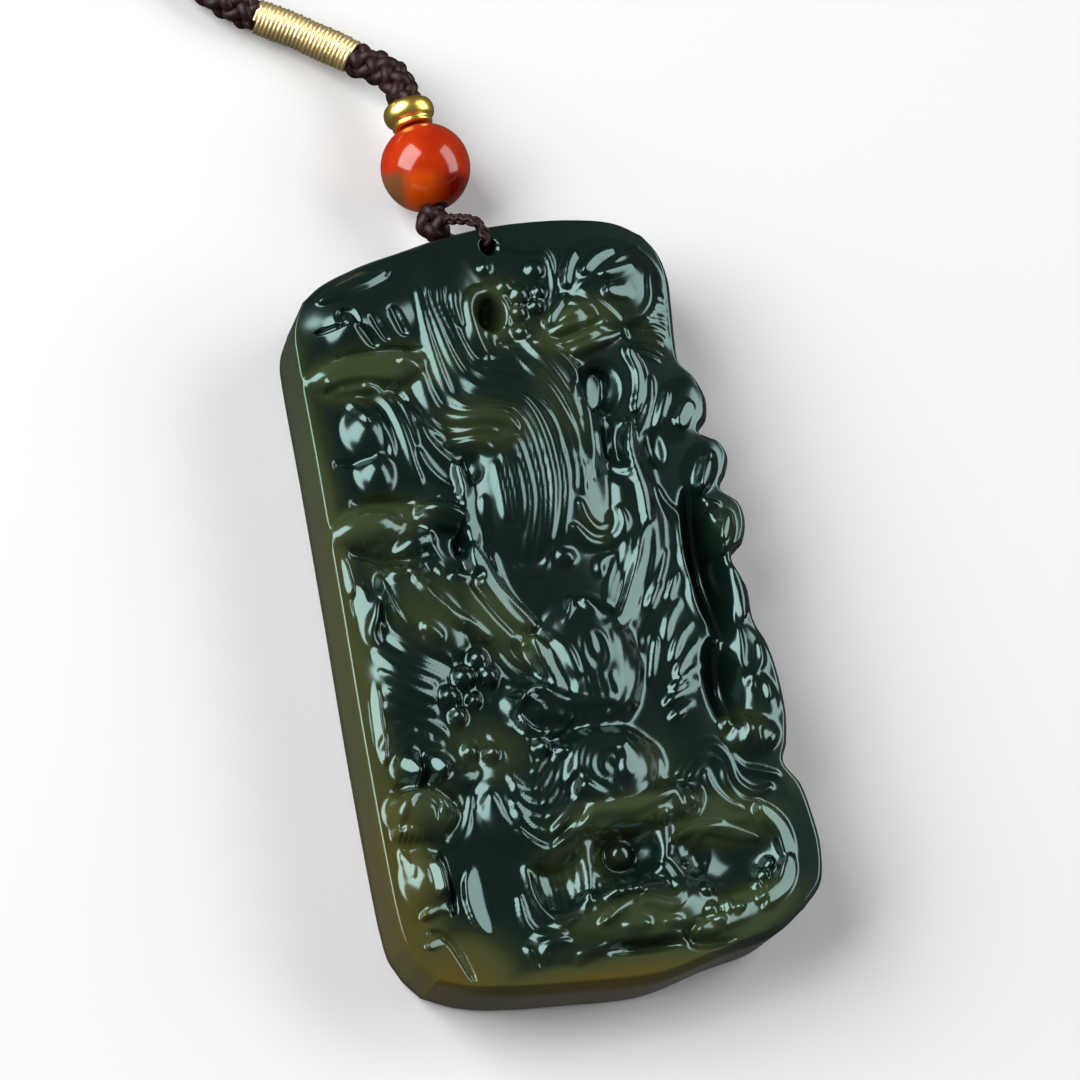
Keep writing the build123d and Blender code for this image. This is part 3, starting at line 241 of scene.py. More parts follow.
# Raised strokes: half width, rise, shares of the length over which the two ends taper, places
Stroke = namedtuple("Stroke", "half_width rise in_taper out_taper places")
strokes = {
    "top_ridge": Stroke(1.0, 0.5, 0.3, 0.3, [(-15.5, 30.0), (-12.5, 31.2), (-9.0, 32.2)]),
    "band_lock": Stroke(0.85, 0.7, 0.1, 0.25, [
        (-9.6, 23.2), (-8.2, 22.2), (-7.7, 20.0), (-6.9, 18.2), (-5.2, 17.1), (-3.0, 16.8), (-1.2, 16.4),
        (-0.4, 15.4),
    ]),
    "falls_edge": Stroke(0.4, 0.5, 0.2, 0.2, [
        (-8.0, 18.0), (-7.0, 16.6), (-5.4, 15.9), (-3.6, 15.8), (-2.3, 15.4),
    ]),
    "under_band": Stroke(0.5, 0.6, 0.2, 0.3, [
        (-6.8, 14.9), (-5.4, 14.9), (-4.0, 14.7), (-3.0, 13.8),
    ]),
    "mane_1": Stroke(0.5, 0.5, 0.1, 0.2, [
        (-6.5, 30.2), (-6.5, 28.0), (-6.5, 25.8), (-6.3, 23.4), (-6.0, 21.2), (-5.5, 19.4), (-4.6, 18.2),
        (-3.2, 17.8), (-1.6, 17.7), (-0.2, 17.2),
    ]),
    "mane_2": Stroke(0.6, 0.5, 0.1, 0.2, [
        (-5.6, 30.4), (-5.8, 28.4), (-5.4, 26.0), (-4.9, 23.4), (-4.2, 21.4), (-3.2, 19.9), (-1.8, 19.0),
        (-0.4, 18.6), (0.8, 17.8), (1.5, 16.2), (1.9, 14.2), (2.0, 12.2), (1.9, 10.0), (1.5, 8.0),
        (1.0, 6.2), (0.4, 4.6),
    ]),
    "mane_3": Stroke(0.42, 0.5, 0.1, 0.2, [
        (-4.9, 30.0), (-5.1, 28.2), (-4.7, 26.2), (-4.2, 24.4), (-3.5, 22.6), (-2.6, 21.2), (-1.2, 20.1),
        (0.2, 19.3), (1.3, 18.6), (2.2, 17.6), (2.9, 16.2), (3.3, 14.6), (3.4, 13.0), (3.4, 11.0),
        (3.1, 9.0), (2.6, 7.2), (1.8, 5.0),
    ]),
    "mane_4": Stroke(0.42, 0.5, 0.1, 0.2, [
        (-4.2, 30.0), (-4.4, 28.2), (-4.0, 26.2), (-3.6, 24.4), (-2.9, 22.6), (-1.7, 21.6), (-0.2, 21.0),
        (1.0, 20.4), (2.2, 19.4), (3.2, 18.0), (3.9, 16.2), (4.2, 14.4), (4.3, 12.6), (4.2, 10.8),
        (3.8, 9.0),
    ]),
    "mane_5": Stroke(0.55, 0.5, 0.2, 0.3, [(-3.2, 29.4), (-3.5, 28.0), (-3.3, 26.0)]),
    "mane_6": Stroke(0.4, 0.5, 0.2, 0.3, [(-2.4, 26.4), (-2.5, 24.6), (-2.0, 22.8)]),
    "mane_7": Stroke(0.4, 0.5, 0.2, 0.3, [(-1.5, 24.6), (-1.5, 23.0), (-1.1, 21.7), (0.2, 21.4)]),
    "mane_8": Stroke(0.45, 0.5, 0.2, 0.2, [
        (0.2, 24.2), (1.0, 23.6), (1.5, 22.4), (2.0, 21.2), (2.7, 20.0), (3.6, 18.6), (4.3, 16.8),
        (4.9, 14.6), (5.0, 12.2), (4.9, 10.2), (4.6, 8.6),
    ]),
    "mane_9": Stroke(0.4, 0.5, 0.2, 0.2, [
        (2.4, 24.3), (2.9, 22.9), (3.8, 21.4), (4.6, 19.8), (5.2, 18.0), (5.5, 16.0), (5.7, 13.8),
        (5.7, 11.6), (5.5, 9.6),
    ]),
    "mane_10": Stroke(0.6, 0.55, 0.2, 0.2, [
        (3.2, 23.7), (4.4, 22.8), (5.6, 21.8), (6.3, 20.6), (6.7, 19.0), (6.7, 17.2), (6.6, 15.4),
        (6.4, 13.6), (6.3, 11.8), (6.1, 10.2),
    ]),
    "mane_11": Stroke(0.4, 0.5, 0.2, 0.3, [(5.9, 19.0), (5.7, 17.4), (5.9, 15.6)]),
    "mane_12": Stroke(0.42, 0.5, 0.2, 0.2, [
        (-0.6, 17.6), (0.2, 16.4), (0.7, 14.8), (0.9, 12.8), (0.9, 10.8), (0.7, 8.8), (0.3, 7.0),
        (-0.2, 5.2), (-0.8, 3.4),
    ]),
    "mane_13": Stroke(0.4, 0.5, 0.2, 0.2, [
        (-1.5, 15.0), (-0.6, 14.2), (-0.3, 12.4), (-0.2, 10.4), (-0.3, 8.6), (-0.8, 6.8), (-1.4, 5.2),
        (-1.9, 3.6),
    ]),
    "mane_14": Stroke(0.36, 0.5, 0.2, 0.2, [(-1.2, 12.6), (-1.2, 10.4), (-1.4, 8.2), (-2.0, 6.0)]),
    "mane_15": Stroke(0.36, 0.5, 0.2, 0.2, [(-2.1, 13.2), (-2.1, 10.8), (-2.1, 8.6), (-2.4, 6.8)]),
    "mane_16": Stroke(0.4, 0.5, 0.2, 0.2, [(-2.9, 12.6), (-3.0, 10.4), (-3.0, 8.4), (-3.1, 7.0)]),
    "mane_17": Stroke(0.5, 0.5, 0.2, 0.2, [(-4.7, 9.6), (-4.9, 7.8), (-4.9, 5.8)]),
    "fall_1": Stroke(0.5, 0.5, 0.2, 0.3, [(-16.6, 22.0), (-15.2, 20.9), (-14.3, 19.5), (-13.7, 18.0)]),
    "fall_2": Stroke(0.5, 0.5, 0.2, 0.3, [
        (-15.2, 21.2), (-14.0, 20.3), (-12.9, 19.2), (-12.3, 17.8), (-12.0, 16.0), (-12.0, 14.4),
    ]),
    "fall_3": Stroke(0.55, 0.6, 0.2, 0.3, [
        (-13.2, 21.5), (-12.0, 20.6), (-11.2, 19.3), (-10.8, 17.6), (-10.5, 15.6), (-10.3, 13.6),
        (-9.9, 11.8),
    ]),
    "fall_4": Stroke(0.4, 0.5, 0.2, 0.3, [
        (-11.4, 21.2), (-10.4, 20.2), (-9.8, 18.8), (-9.5, 17.0), (-9.4, 15.4),
    ]),
    "fall_5": Stroke(0.4, 0.5, 0.2, 0.3, [(-9.3, 18.8), (-8.7, 17.4), (-7.8, 16.3), (-6.9, 15.7)]),
    "fall_6": Stroke(0.6, 0.6, 0.2, 0.3, [
        (-8.9, 17.2), (-8.5, 15.8), (-7.8, 14.6), (-6.9, 13.5), (-6.1, 12.4),
    ]),
    "fall_7": Stroke(0.45, 0.5, 0.2, 0.3, [(-9.6, 14.8), (-9.2, 13.4), (-8.2, 12.0), (-7.0, 11.0)]),
    "swirl": Stroke(0.75, 1.2, 0.2, 0.3, [
        (-1.2, 22.6), (-1.9, 24.8), (-2.0, 27.4), (-1.0, 29.0), (0.6, 29.0), (1.5, 27.6), (1.2, 25.8),
    ]),
    "swirl_in": Stroke(0.45, 0.8, 0.2, 0.3, [(-0.6, 22.4), (-1.0, 24.4), (-0.6, 25.6), (0.4, 25.8)]),
    "frame_a": Stroke(0.4, 1.0, 0.1, 0.2, [
        (1.6, 34.0), (3.8, 33.0), (6.2, 32.5), (6.6, 30.2), (6.1, 27.9), (5.1, 25.7),
    ]),
    "petal_3": Stroke(0.4, 1.2, 0.1, 0.2, [(8.2, 28.2), (11.5, 29.9), (15.2, 31.8)]),
    "petal_rim": Stroke(0.6, 1.0, 0.2, 0.3, [
        (12.0, 24.4), (13.8, 24.9), (15.0, 26.2), (15.4, 28.2), (15.9, 30.4),
    ]),
    "petal_stem": Stroke(0.45, 1.0, 0.2, 0.2, [(8.6, 27.9), (10.2, 26.0), (11.6, 24.4), (12.2, 23.2)]),
    "leaf_top": Stroke(0.6, 0.9, 0.3, 0.3, [(7.2, 27.2), (8.6, 26.5), (9.4, 25.6)]),
    "sweep_a": Stroke(0.55, 1.1, 0.3, 0.3, [(5.1, 24.3), (7.6, 24.6), (9.6, 25.4)]),
    "sweep_b": Stroke(0.55, 1.1, 0.3, 0.3, [(5.2, 23.2), (8.0, 23.6), (10.4, 24.7)]),
    "sweep_c": Stroke(0.6, 1.0, 0.3, 0.3, [(6.4, 22.0), (9.0, 22.6), (11.6, 23.6)]),
    "horn_right_fork": Stroke(0.55, 1.1, 0.2, 0.2, [
        (9.4, 10.4), (8.4, 11.0), (7.4, 12.6), (7.3, 14.4),
    ]),
    "horn_right_b": Stroke(0.5, 1.1, 0.3, 0.2, [
        (13.6, 19.0), (13.0, 16.8), (12.0, 14.8), (11.0, 13.6),
    ]),
    "lobe_line": Stroke(0.55, 1.0, 0.3, 0.3, [(14.8, 17.6), (13.9, 16.0), (13.0, 14.2)]),
    "lobe_b": Stroke(1.1, 1.1, 0.4, 0.4, [(15.6, 7.6), (16.6, 9.3), (17.4, 11.0)]),
    "lobe_c": Stroke(1.1, 1.1, 0.4, 0.4, [(16.2, 1.6), (17.0, 3.2), (17.8, 5.0)]),
    "lobe_c2": Stroke(0.45, 0.9, 0.3, 0.3, [(15.3, 5.0), (16.2, 6.2), (17.2, 6.1)]),
    "right_edge": Stroke(0.75, 1.2, 0.2, 0.3, [(17.0, 0.0), (17.2, -2.2), (17.0, -4.8)]),
    "panel_edge": Stroke(0.6, 1.3, 0.2, 0.3, [
        (11.8, 8.4), (12.2, 6.8), (13.3, 5.0), (13.1, 3.0), (12.7, 1.2), (13.0, -0.8), (12.6, -2.4),
        (12.9, -4.2), (13.6, -5.2),
    ]),
    "brow_curl_out": Stroke(0.7, 1.2, 0.2, 0.3, [
        (2.9, 5.6), (4.2, 4.1), (6.2, 3.9), (7.6, 5.2), (7.6, 6.9),
    ]),
    "brow_curl_in": Stroke(0.55, 1.1, 0.2, 0.3, [
        (4.0, 7.9), (4.3, 6.2), (5.3, 5.2), (6.5, 5.5), (6.8, 6.7),
    ]),
    "mane_end_ball": Stroke(0.9, 1.2, 0.3, 0.3, [(1.2, 3.0), (2.2, 2.9)]),
    "mane_end_hook": Stroke(0.45, 1.1, 0.2, 0.3, [(-2.9, 3.0), (-1.8, 1.9), (-0.4, 2.3), (0.5, 3.9)]),
    "comma": Stroke(0.55, 1.1, 0.2, 0.4, [(4.6, 1.0), (4.9, 2.1), (6.2, 2.7)]),
    "bridge_ring": Stroke(0.35, 1.0, 0.0, 0.0, [
        (2.1, -4.2), (1.2, -5.0), (1.0, -6.8), (1.6, -8.3), (2.5, -8.3), (3.2, -7.0), (3.1, -5.2),
        (2.2, -4.2),
    ]),
    "bridge_left": Stroke(0.65, 1.1, 0.3, 0.3, [(-1.5, -4.6), (-0.5, -6.0), (0.1, -8.2)]),
    "brow_right": Stroke(0.4, 0.9, 0.3, 0.2, [
        (11.2, 2.4), (10.2, 0.4), (8.8, -1.6), (7.2, -3.6), (6.0, -5.0),
    ]),
    "brow_right_low": Stroke(0.7, 0.3, 0.2, 0.3, [
        (3.6, -11.3), (5.2, -9.8), (6.2, -8.4), (7.0, -6.8), (7.6, -5.2),
    ]),
    "eye_right": Stroke(0.45, 0.8, 0.3, 0.3, [(3.0, -11.9), (4.2, -11.3), (5.4, -11.4)]),
    "left_horn_line": Stroke(0.4, 1.1, 0.2, 0.2, [
        (-4.7, 4.4), (-4.5, 1.8), (-3.8, -0.6), (-2.2, -3.0), (-1.2, -4.6),
    ]),
    "rib_1": Stroke(0.5, 0.6, 0.15, 0.2, [
        (-15.3, -0.3), (-14.8, -1.6), (-13.9, -2.8), (-12.6, -3.8), (-11.3, -4.6), (-10.4, -5.5),
    ]),
    "rib_2": Stroke(0.5, 0.6, 0.15, 0.2, [
        (-16.0, -0.7), (-15.3, -2.1), (-14.4, -3.4), (-13.2, -4.5), (-12.0, -5.3), (-10.9, -6.0),
    ]),
    "rib_3": Stroke(0.5, 0.6, 0.15, 0.2, [
        (-15.5, 3.2), (-15.8, 1.6), (-16.5, 0.0), (-17.3, -1.6), (-16.6, -3.0), (-15.4, -4.2),
        (-14.0, -5.2), (-12.6, -6.0), (-11.2, -6.6),
    ]),
    "rib_4": Stroke(0.5, 0.6, 0.15, 0.2, [
        (-17.2, -3.2), (-16.2, -4.6), (-15.2, -5.7), (-14.0, -6.5), (-12.6, -7.2),
    ]),
    "rib_5": Stroke(0.55, 0.6, 0.15, 0.2, [
        (-17.3, -5.0), (-16.1, -6.0), (-15.1, -7.0), (-13.9, -7.8), (-12.6, -8.3),
    ]),
    "rib_6": Stroke(0.5, 0.6, 0.15, 0.2, [(-17.0, -6.9), (-15.8, -7.9), (-14.4, -8.8), (-12.8, -9.4)]),
    "rib_7": Stroke(0.5, 0.6, 0.15, 0.2, [
        (-17.4, -8.2), (-16.1, -9.0), (-14.8, -9.8), (-13.4, -10.5), (-12.3, -11.5),
    ]),
    "rib_8": Stroke(0.45, 0.6, 0.2, 0.3, [(-18.5, -11.9), (-17.5, -10.8), (-16.3, -10.2), (-14.9, -10.5)]),
    "rib_9": Stroke(0.45, 0.6, 0.2, 0.3, [(-18.3, -13.1), (-17.0, -11.8), (-15.4, -11.0), (-13.8, -11.4)]),
    "rib_10": Stroke(0.45, 0.6, 0.2, 0.3, [(-17.2, -13.4), (-15.8, -12.2), (-14.2, -11.9), (-12.8, -12.4)]),
    "ear_seam": Stroke(0.5, 1.1, 0.2, 0.3, [
        (-12.1, 3.6), (-11.5, 1.4), (-10.1, -0.6), (-8.5, -2.2), (-7.0, -3.8),
    ]),
    "ear_knob": Stroke(0.75, 1.0, 0.3, 0.3, [(-14.6, 3.6), (-13.2, 3.3)]),
    "ear_knob_b": Stroke(0.7, 1.1, 0.2, 0.3, [(-11.9, 3.4), (-11.2, 4.3), (-10.2, 4.0), (-9.8, 3.1)]),
    "hook_line": Stroke(0.4, 1.1, 0.2, 0.2, [
        (-15.6, 5.7), (-13.8, 6.7), (-12.2, 8.0), (-10.8, 8.4), (-10.0, 7.4), (-10.0, 5.8),
        (-9.5, 4.4), (-8.4, 3.5), (-7.1, 3.3),
    ]),
    "leaf_point": Stroke(0.9, 1.0, 0.3, 0.4, [(-10.4, 9.4), (-8.6, 8.8), (-6.8, 7.8)]),
    "lock_curl": Stroke(0.6, 1.2, 0.2, 0.3, [(-6.3, 12.2), (-6.1, 10.6), (-7.0, 9.8), (-8.4, 10.4)]),
    "ear_lump": Stroke(0.8, 0.9, 0.3, 0.3, [(-12.6, -1.8), (-11.4, -3.2)]),
    "eyelid": Stroke(0.65, 1.3, 0.2, 0.2, [
        (-5.9, -11.8), (-5.8, -10.2), (-4.8, -8.9), (-3.2, -8.9), (-1.9, -10.0), (-0.4, -10.8),
        (1.6, -11.0), (3.2, -11.0),
    ]),
    "eyelid_low": Stroke(0.45, 1.1, 0.2, 0.3, [
        (-5.6, -11.6), (-4.4, -12.8), (-2.4, -12.9), (-0.4, -12.1),
    ]),
    "temple_a": Stroke(0.4, 0.9, 0.3, 0.3, [(-6.6, -4.2), (-5.8, -6.0), (-4.6, -7.4), (-3.2, -8.0)]),
    "temple_b": Stroke(0.4, 0.9, 0.3, 0.3, [(-5.6, -4.0), (-4.8, -5.6), (-3.6, -6.6)]),
    "temple_c": Stroke(0.55, 0.9, 0.3, 0.3, [(-4.2, -3.4), (-3.6, -4.8)]),
    "temple_d": Stroke(0.35, 0.9, 0.3, 0.3, [(-7.0, -5.4), (-6.2, -7.2), (-5.0, -8.6)]),
    "nostril": Stroke(0.6, 0.6, 0.1, 0.2, [
        (3.2, -15.4), (2.2, -14.4), (0.6, -14.0), (-1.0, -14.6), (-1.9, -16.2), (-1.6, -18.0),
        (-0.4, -19.2), (1.4, -19.4),
    ]),
    "nostril_mid": Stroke(0.5, 0.6, 0.1, 0.2, [
        (2.6, -15.9), (1.4, -15.2), (0.0, -15.4), (-0.8, -16.6), (-0.5, -17.9), (0.6, -18.6),
    ]),
    "nostril_in": Stroke(0.4, 0.5, 0.2, 0.3, [(1.6, -16.4), (0.7, -16.3), (0.3, -17.1), (0.8, -17.8)]),
    "nostril_right": Stroke(0.5, 1.1, 0.2, 0.3, [
        (5.0, -15.0), (6.0, -15.8), (6.3, -17.4), (5.6, -18.6),
    ]),
    "lip_left": Stroke(0.8, 0.7, 0.2, 0.2, [
        (-2.6, -21.4), (-1.0, -20.7), (1.4, -20.9), (3.4, -20.9), (5.2, -20.2), (7.0, -19.7),
    ]),
    "lip_lower": Stroke(0.45, 0.5, 0.2, 0.2, [(-1.0, -22.2), (1.2, -22.5), (3.2, -22.2), (4.8, -21.2)]),
    "fang_left": Stroke(0.7, 1.2, 0.1, 0.5, [(-2.2, -22.2), (-2.4, -24.6), (-3.0, -28.4)]),
    "fang_right": Stroke(0.9, 1.2, 0.1, 0.6, [(5.2, -21.8), (5.0, -23.6), (4.6, -25.6)]),
    "gum_line": Stroke(0.5, 0.9, 0.2, 0.2, [
        (2.4, -28.4), (3.4, -29.2), (4.5, -29.4), (5.2, -28.6), (5.0, -27.2), (4.6, -26.0),
    ]),
    "lip_under": Stroke(0.5, 0.9, 0.2, 0.2, [
        (4.9, -25.4), (5.9, -27.0), (5.8, -28.8), (4.2, -30.1), (1.8, -29.2), (0.4, -29.2), (-1.0, -29.8),
        (-2.6, -30.8),
    ]),
    "chin_lobe_a": Stroke(0.75, 0.9, 0.3, 0.3, [(-0.4, -31.2), (1.6, -31.2)]),
    "chin_lobe_b": Stroke(0.6, 0.9, 0.3, 0.3, [(3.2, -31.5), (4.6, -31.4)]),
    "jaw_left": Stroke(0.55, 1.3, 0.2, 0.2, [
        (-8.0, -24.4), (-7.6, -26.6), (-7.1, -28.6), (-5.9, -29.9), (-4.6, -29.6),
    ]),
    "jaw_left_b": Stroke(0.5, 1.1, 0.2, 0.2, [
        (-9.0, -26.8), (-8.9, -29.2), (-7.8, -30.6), (-5.8, -30.8),
    ]),
    "whisker_left": Stroke(1.2, 0.75, 0.1, 0.2, [
        (-9.9, -17.6), (-9.9, -19.4), (-8.9, -21.2), (-7.6, -22.8), (-6.2, -24.0), (-4.6, -24.0),
        (-3.0, -22.6), (-1.8, -21.0),
    ]),
    "whisker_left_rim": Stroke(0.45, 0.9, 0.2, 0.3, [
        (-11.2, -18.4), (-10.4, -20.8), (-8.2, -23.2), (-7.6, -24.4),
    ]),
    "whisker_left_in": Stroke(0.4, 0.8, 0.2, 0.3, [
        (-10.9, -17.4), (-10.0, -16.7), (-8.4, -17.6), (-8.2, -18.6), (-7.0, -21.2),
    ]),
    "whisker_right": Stroke(0.55, 0.8, 0.15, 0.2, [
        (7.5, -18.4), (9.0, -17.2), (10.4, -16.4), (11.4, -16.1), (12.2, -16.8), (12.6, -18.0),
        (12.8, -19.6), (13.6, -20.6), (14.6, -21.0), (16.0, -20.7),
    ]),
    "whisker_right_in": Stroke(0.45, 0.7, 0.15, 0.2, [
        (8.6, -18.8), (10.0, -17.6), (11.2, -17.2), (11.9, -18.2), (12.0, -19.8), (12.9, -21.4),
        (14.6, -21.9),
    ]),
    "whisker_right_b": Stroke(0.42, 1.2, 0.2, 0.3, [
        (12.9, -16.9), (13.7, -18.5), (15.4, -19.2), (16.9, -19.7),
    ]),
    "whisker_right_d": Stroke(0.42, 1.1, 0.2, 0.3, [
        (10.2, -18.4), (10.5, -20.0), (11.6, -21.5), (12.8, -22.2),
    ]),
    "drop_curl": Stroke(0.42, 1.1, 0.2, 0.3, [
        (6.7, -20.2), (7.1, -21.6), (8.2, -22.1), (9.0, -21.3), (9.4, -19.8),
    ]),
    "drop_fill": Stroke(0.7, 0.9, 0.3, 0.3, [(8.0, -20.6), (8.5, -21.2)]),
    "ring_top": Stroke(0.7, 1.0, 0.3, 0.3, [(5.8, -24.0), (8.4, -23.4), (11.2, -24.0), (13.8, -25.0)]),
    "toe_a": Stroke(0.75, 1.2, 0.3, 0.3, [(13.3, -13.5), (13.2, -15.2)]),
    "toe_b": Stroke(0.5, 1.1, 0.2, 0.3, [(14.1, -16.6), (14.9, -15.2), (14.5, -13.6)]),
    "toe_c": Stroke(0.5, 1.1, 0.2, 0.3, [(15.6, -17.1), (15.5, -15.6), (16.6, -14.7)]),
    "toe_d": Stroke(0.5, 1.0, 0.2, 0.3, [(16.6, -17.0), (17.6, -15.9)]),
    "cloud_loop": Stroke(0.5, 1.2, 0.2, 0.3, [
        (16.2, -5.6), (16.0, -7.4), (15.7, -9.4), (16.8, -9.9), (17.7, -9.0), (17.8, -7.4),
    ]),
    "cloud_loop_b": Stroke(0.6, 1.0, 0.3, 0.3, [
        (16.1, -11.4), (16.6, -10.7), (17.6, -11.2), (17.5, -12.8),
    ]),
    "curl_head": Stroke(0.8, 1.1, 0.2, 0.3, [
        (-18.4, -19.0), (-17.9, -17.4), (-16.4, -16.4), (-14.8, -16.9), (-13.8, -18.6),
    ]),
    "curl_band_a": Stroke(0.5, 0.8, 0.2, 0.3, [
        (-19.0, -19.7), (-16.2, -20.2), (-14.6, -20.4), (-12.8, -18.4), (-12.6, -17.2),
    ]),
    "curl_band_b": Stroke(0.5, 0.8, 0.2, 0.3, [
        (-18.8, -20.2), (-15.6, -21.2), (-12.8, -20.6), (-11.2, -17.2),
    ]),
    "bottom_wave_a": Stroke(0.6, 1.1, 0.2, 0.3, [
        (-5.2, -33.6), (-4.4, -32.9), (-2.8, -32.6), (-0.6, -33.0),
    ]),
    "bottom_wave_b": Stroke(0.6, 1.0, 0.3, 0.3, [(1.4, -32.6), (3.6, -32.5), (5.6, -33.2)]),
    "jaw_curl_a": Stroke(0.4, 1.0, 0.2, 0.3, [(-9.3, -31.4), (-8.9, -32.6), (-8.6, -33.4)]),
    "jaw_curl_b": Stroke(0.45, 1.0, 0.2, 0.3, [
        (-7.9, -33.2), (-7.8, -32.0), (-6.8, -31.4), (-5.6, -31.6),
    ]),
}

# Bundles of locks between two guide lines: number, rise, tapers, left and right guide
Bundle = namedtuple("Bundle", "locks rise in_taper out_taper left right")
bundles = {
    "neck_lines": Bundle(
        4, 1.0, 0.2, 0.2,
        [(6.6, 4.4), (6.1, 2.4), (5.0, 0.4), (4.3, -1.8), (4.0, -3.8)],
        [(9.4, 4.0), (8.5, 1.8), (6.9, -0.8), (5.6, -2.9), (4.7, -4.2)],
    ),
    "bridge_right": Bundle(
        3, 1.1, 0.2, 0.3,
        [(6.2, -3.9), (5.0, -6.0), (4.3, -8.6), (4.2, -10.0)],
        [(4.0, -4.6), (3.6, -6.4), (3.1, -8.8), (3.3, -10.4)],
    ),
    "bridge_folds": Bundle(
        4, 1.0, 0.2, 0.2,
        [(0.2, -8.4), (0.3, -9.6), (0.4, -10.6)],
        [(3.4, -8.6), (3.6, -9.6), (3.8, -10.5)],
    ),
    "temple_strand": Bundle(
        4, 1.0, 0.2, 0.2,
        [(-9.0, -11.9), (-8.2, -13.4), (-7.4, -15.4)],
        [(-5.4, -12.6), (-5.3, -13.9), (-5.6, -15.6)],
    ),
    "lashes": Bundle(
        4, 0.9, 0.2, 0.2,
        [(-9.0, -9.6), (-8.0, -9.9), (-7.0, -10.8), (-6.6, -12.2)],
        [(-8.8, -8.6), (-7.0, -8.8), (-6.0, -9.8), (-5.9, -11.2)],
    ),
    "nose_folds": Bundle(
        4, 0.9, 0.2, 0.2,
        [(-1.6, -11.4), (-2.2, -13.4), (-3.4, -15.4)],
        [(2.6, -11.8), (1.2, -13.2), (-0.6, -13.8)],
    ),
    "gum_bars": Bundle(
        5, 0.8, 0.2, 0.2,
        [(-7.4, -24.6), (-7.0, -28.2)],
        [(-3.4, -24.6), (-3.6, -28.4)],
    ),
    "lower_teeth": Bundle(
        5, 0.6, 0.3, 0.3,
        [(-1.8, -26.6), (-1.6, -28.4)],
        [(2.6, -26.6), (2.4, -28.2)],
    ),
    "lip_folds": Bundle(
        3, 0.5, 0.1, 0.2,
        [(-2.6, -20.6), (-3.0, -22.4), (-3.4, -24.2)],
        [(-0.8, -21.8), (-1.2, -23.4), (-1.4, -25.4)],
    ),
    "lobe_flutes": Bundle(
        2, 0.8, 0.3, 0.3,
        [(7.4, 15.4), (7.2, 12.8), (7.6, 10.8)],
        [(8.9, 15.2), (8.8, 13.0), (8.6, 11.4)],
    ),
}

# The comb of short cuts from one guide line to the other. The half width is a share of the pitch.
comb_teeth, comb_half_width, comb_rise, comb_bow = 9, 0.42, 1.0, 0.15
comb_first = [(14.9, 27.1), (14.8, 25.4), (13.8, 24.0), (12.6, 22.6), (12.2, 21.4)]
comb_second = [(16.6, 27.0), (16.4, 25.2), (16.0, 23.4), (15.2, 21.8), (14.5, 20.2)]

# Round beads of jade: centre, radius, rise
Pearl = namedtuple("Pearl", "x y radius rise")
pearls = [
    Pearl(-8.2, -5.2, 1.0, 1.3),
    Pearl(-9.8, -6.7, 1.1, 1.4),
    Pearl(-7.6, -6.9, 1.0, 1.3),
    Pearl(-11.4, -8.3, 1.0, 1.3),
    Pearl(-11.0, -10.1, 0.85, 1.2),
    Pearl(-9.3, -8.9, 0.7, 1.0),
    Pearl(3.0, 28.5, 0.95, 0.9),
    Pearl(1.7, 29.4, 0.85, 0.8),
    Pearl(4.9, 28.6, 0.7, 0.7),
    Pearl(4.3, 27.2, 0.75, 0.8),
    Pearl(5.0, 30.8, 0.9, 0.6),
    Pearl(0.3, 31.5, 0.6, 0.6),
    Pearl(2.3, 24.9, 0.8, 0.9),
    Pearl(2.6, 26.8, 0.8, 0.7),
    Pearl(-4.5, -14.2, 0.8, 1.0),
    Pearl(-2.9, -14.7, 0.75, 1.0),
    Pearl(-9.0, -13.9, 0.8, 1.0),
    Pearl(-10.6, -13.4, 0.8, 0.8),
    Pearl(1.2, -24.4, 1.25, 1.9),
    Pearl(-0.5, -28.1, 0.5, 0.9),
    Pearl(0.4, -27.9, 0.5, 0.9),
    Pearl(1.4, -28.0, 0.5, 0.9),
    Pearl(8.0, -28.8, 0.7, 0.9),
    Pearl(7.9, -30.9, 0.7, 0.9),
    Pearl(9.4, -30.7, 0.65, 0.9),
    Pearl(10.4, -30.9, 0.55, 0.8),
    Pearl(8.3, -31.9, 0.5, 0.7),
    Pearl(13.4, -28.2, 0.7, 0.9),
    Pearl(12.6, -29.0, 0.5, 0.8),
    Pearl(14.2, -27.4, 0.6, 0.8),
    Pearl(13.2, -14.4, 0.7, 0.9),
    Pearl(6.9, -26.2, 0.5, 0.8),
]

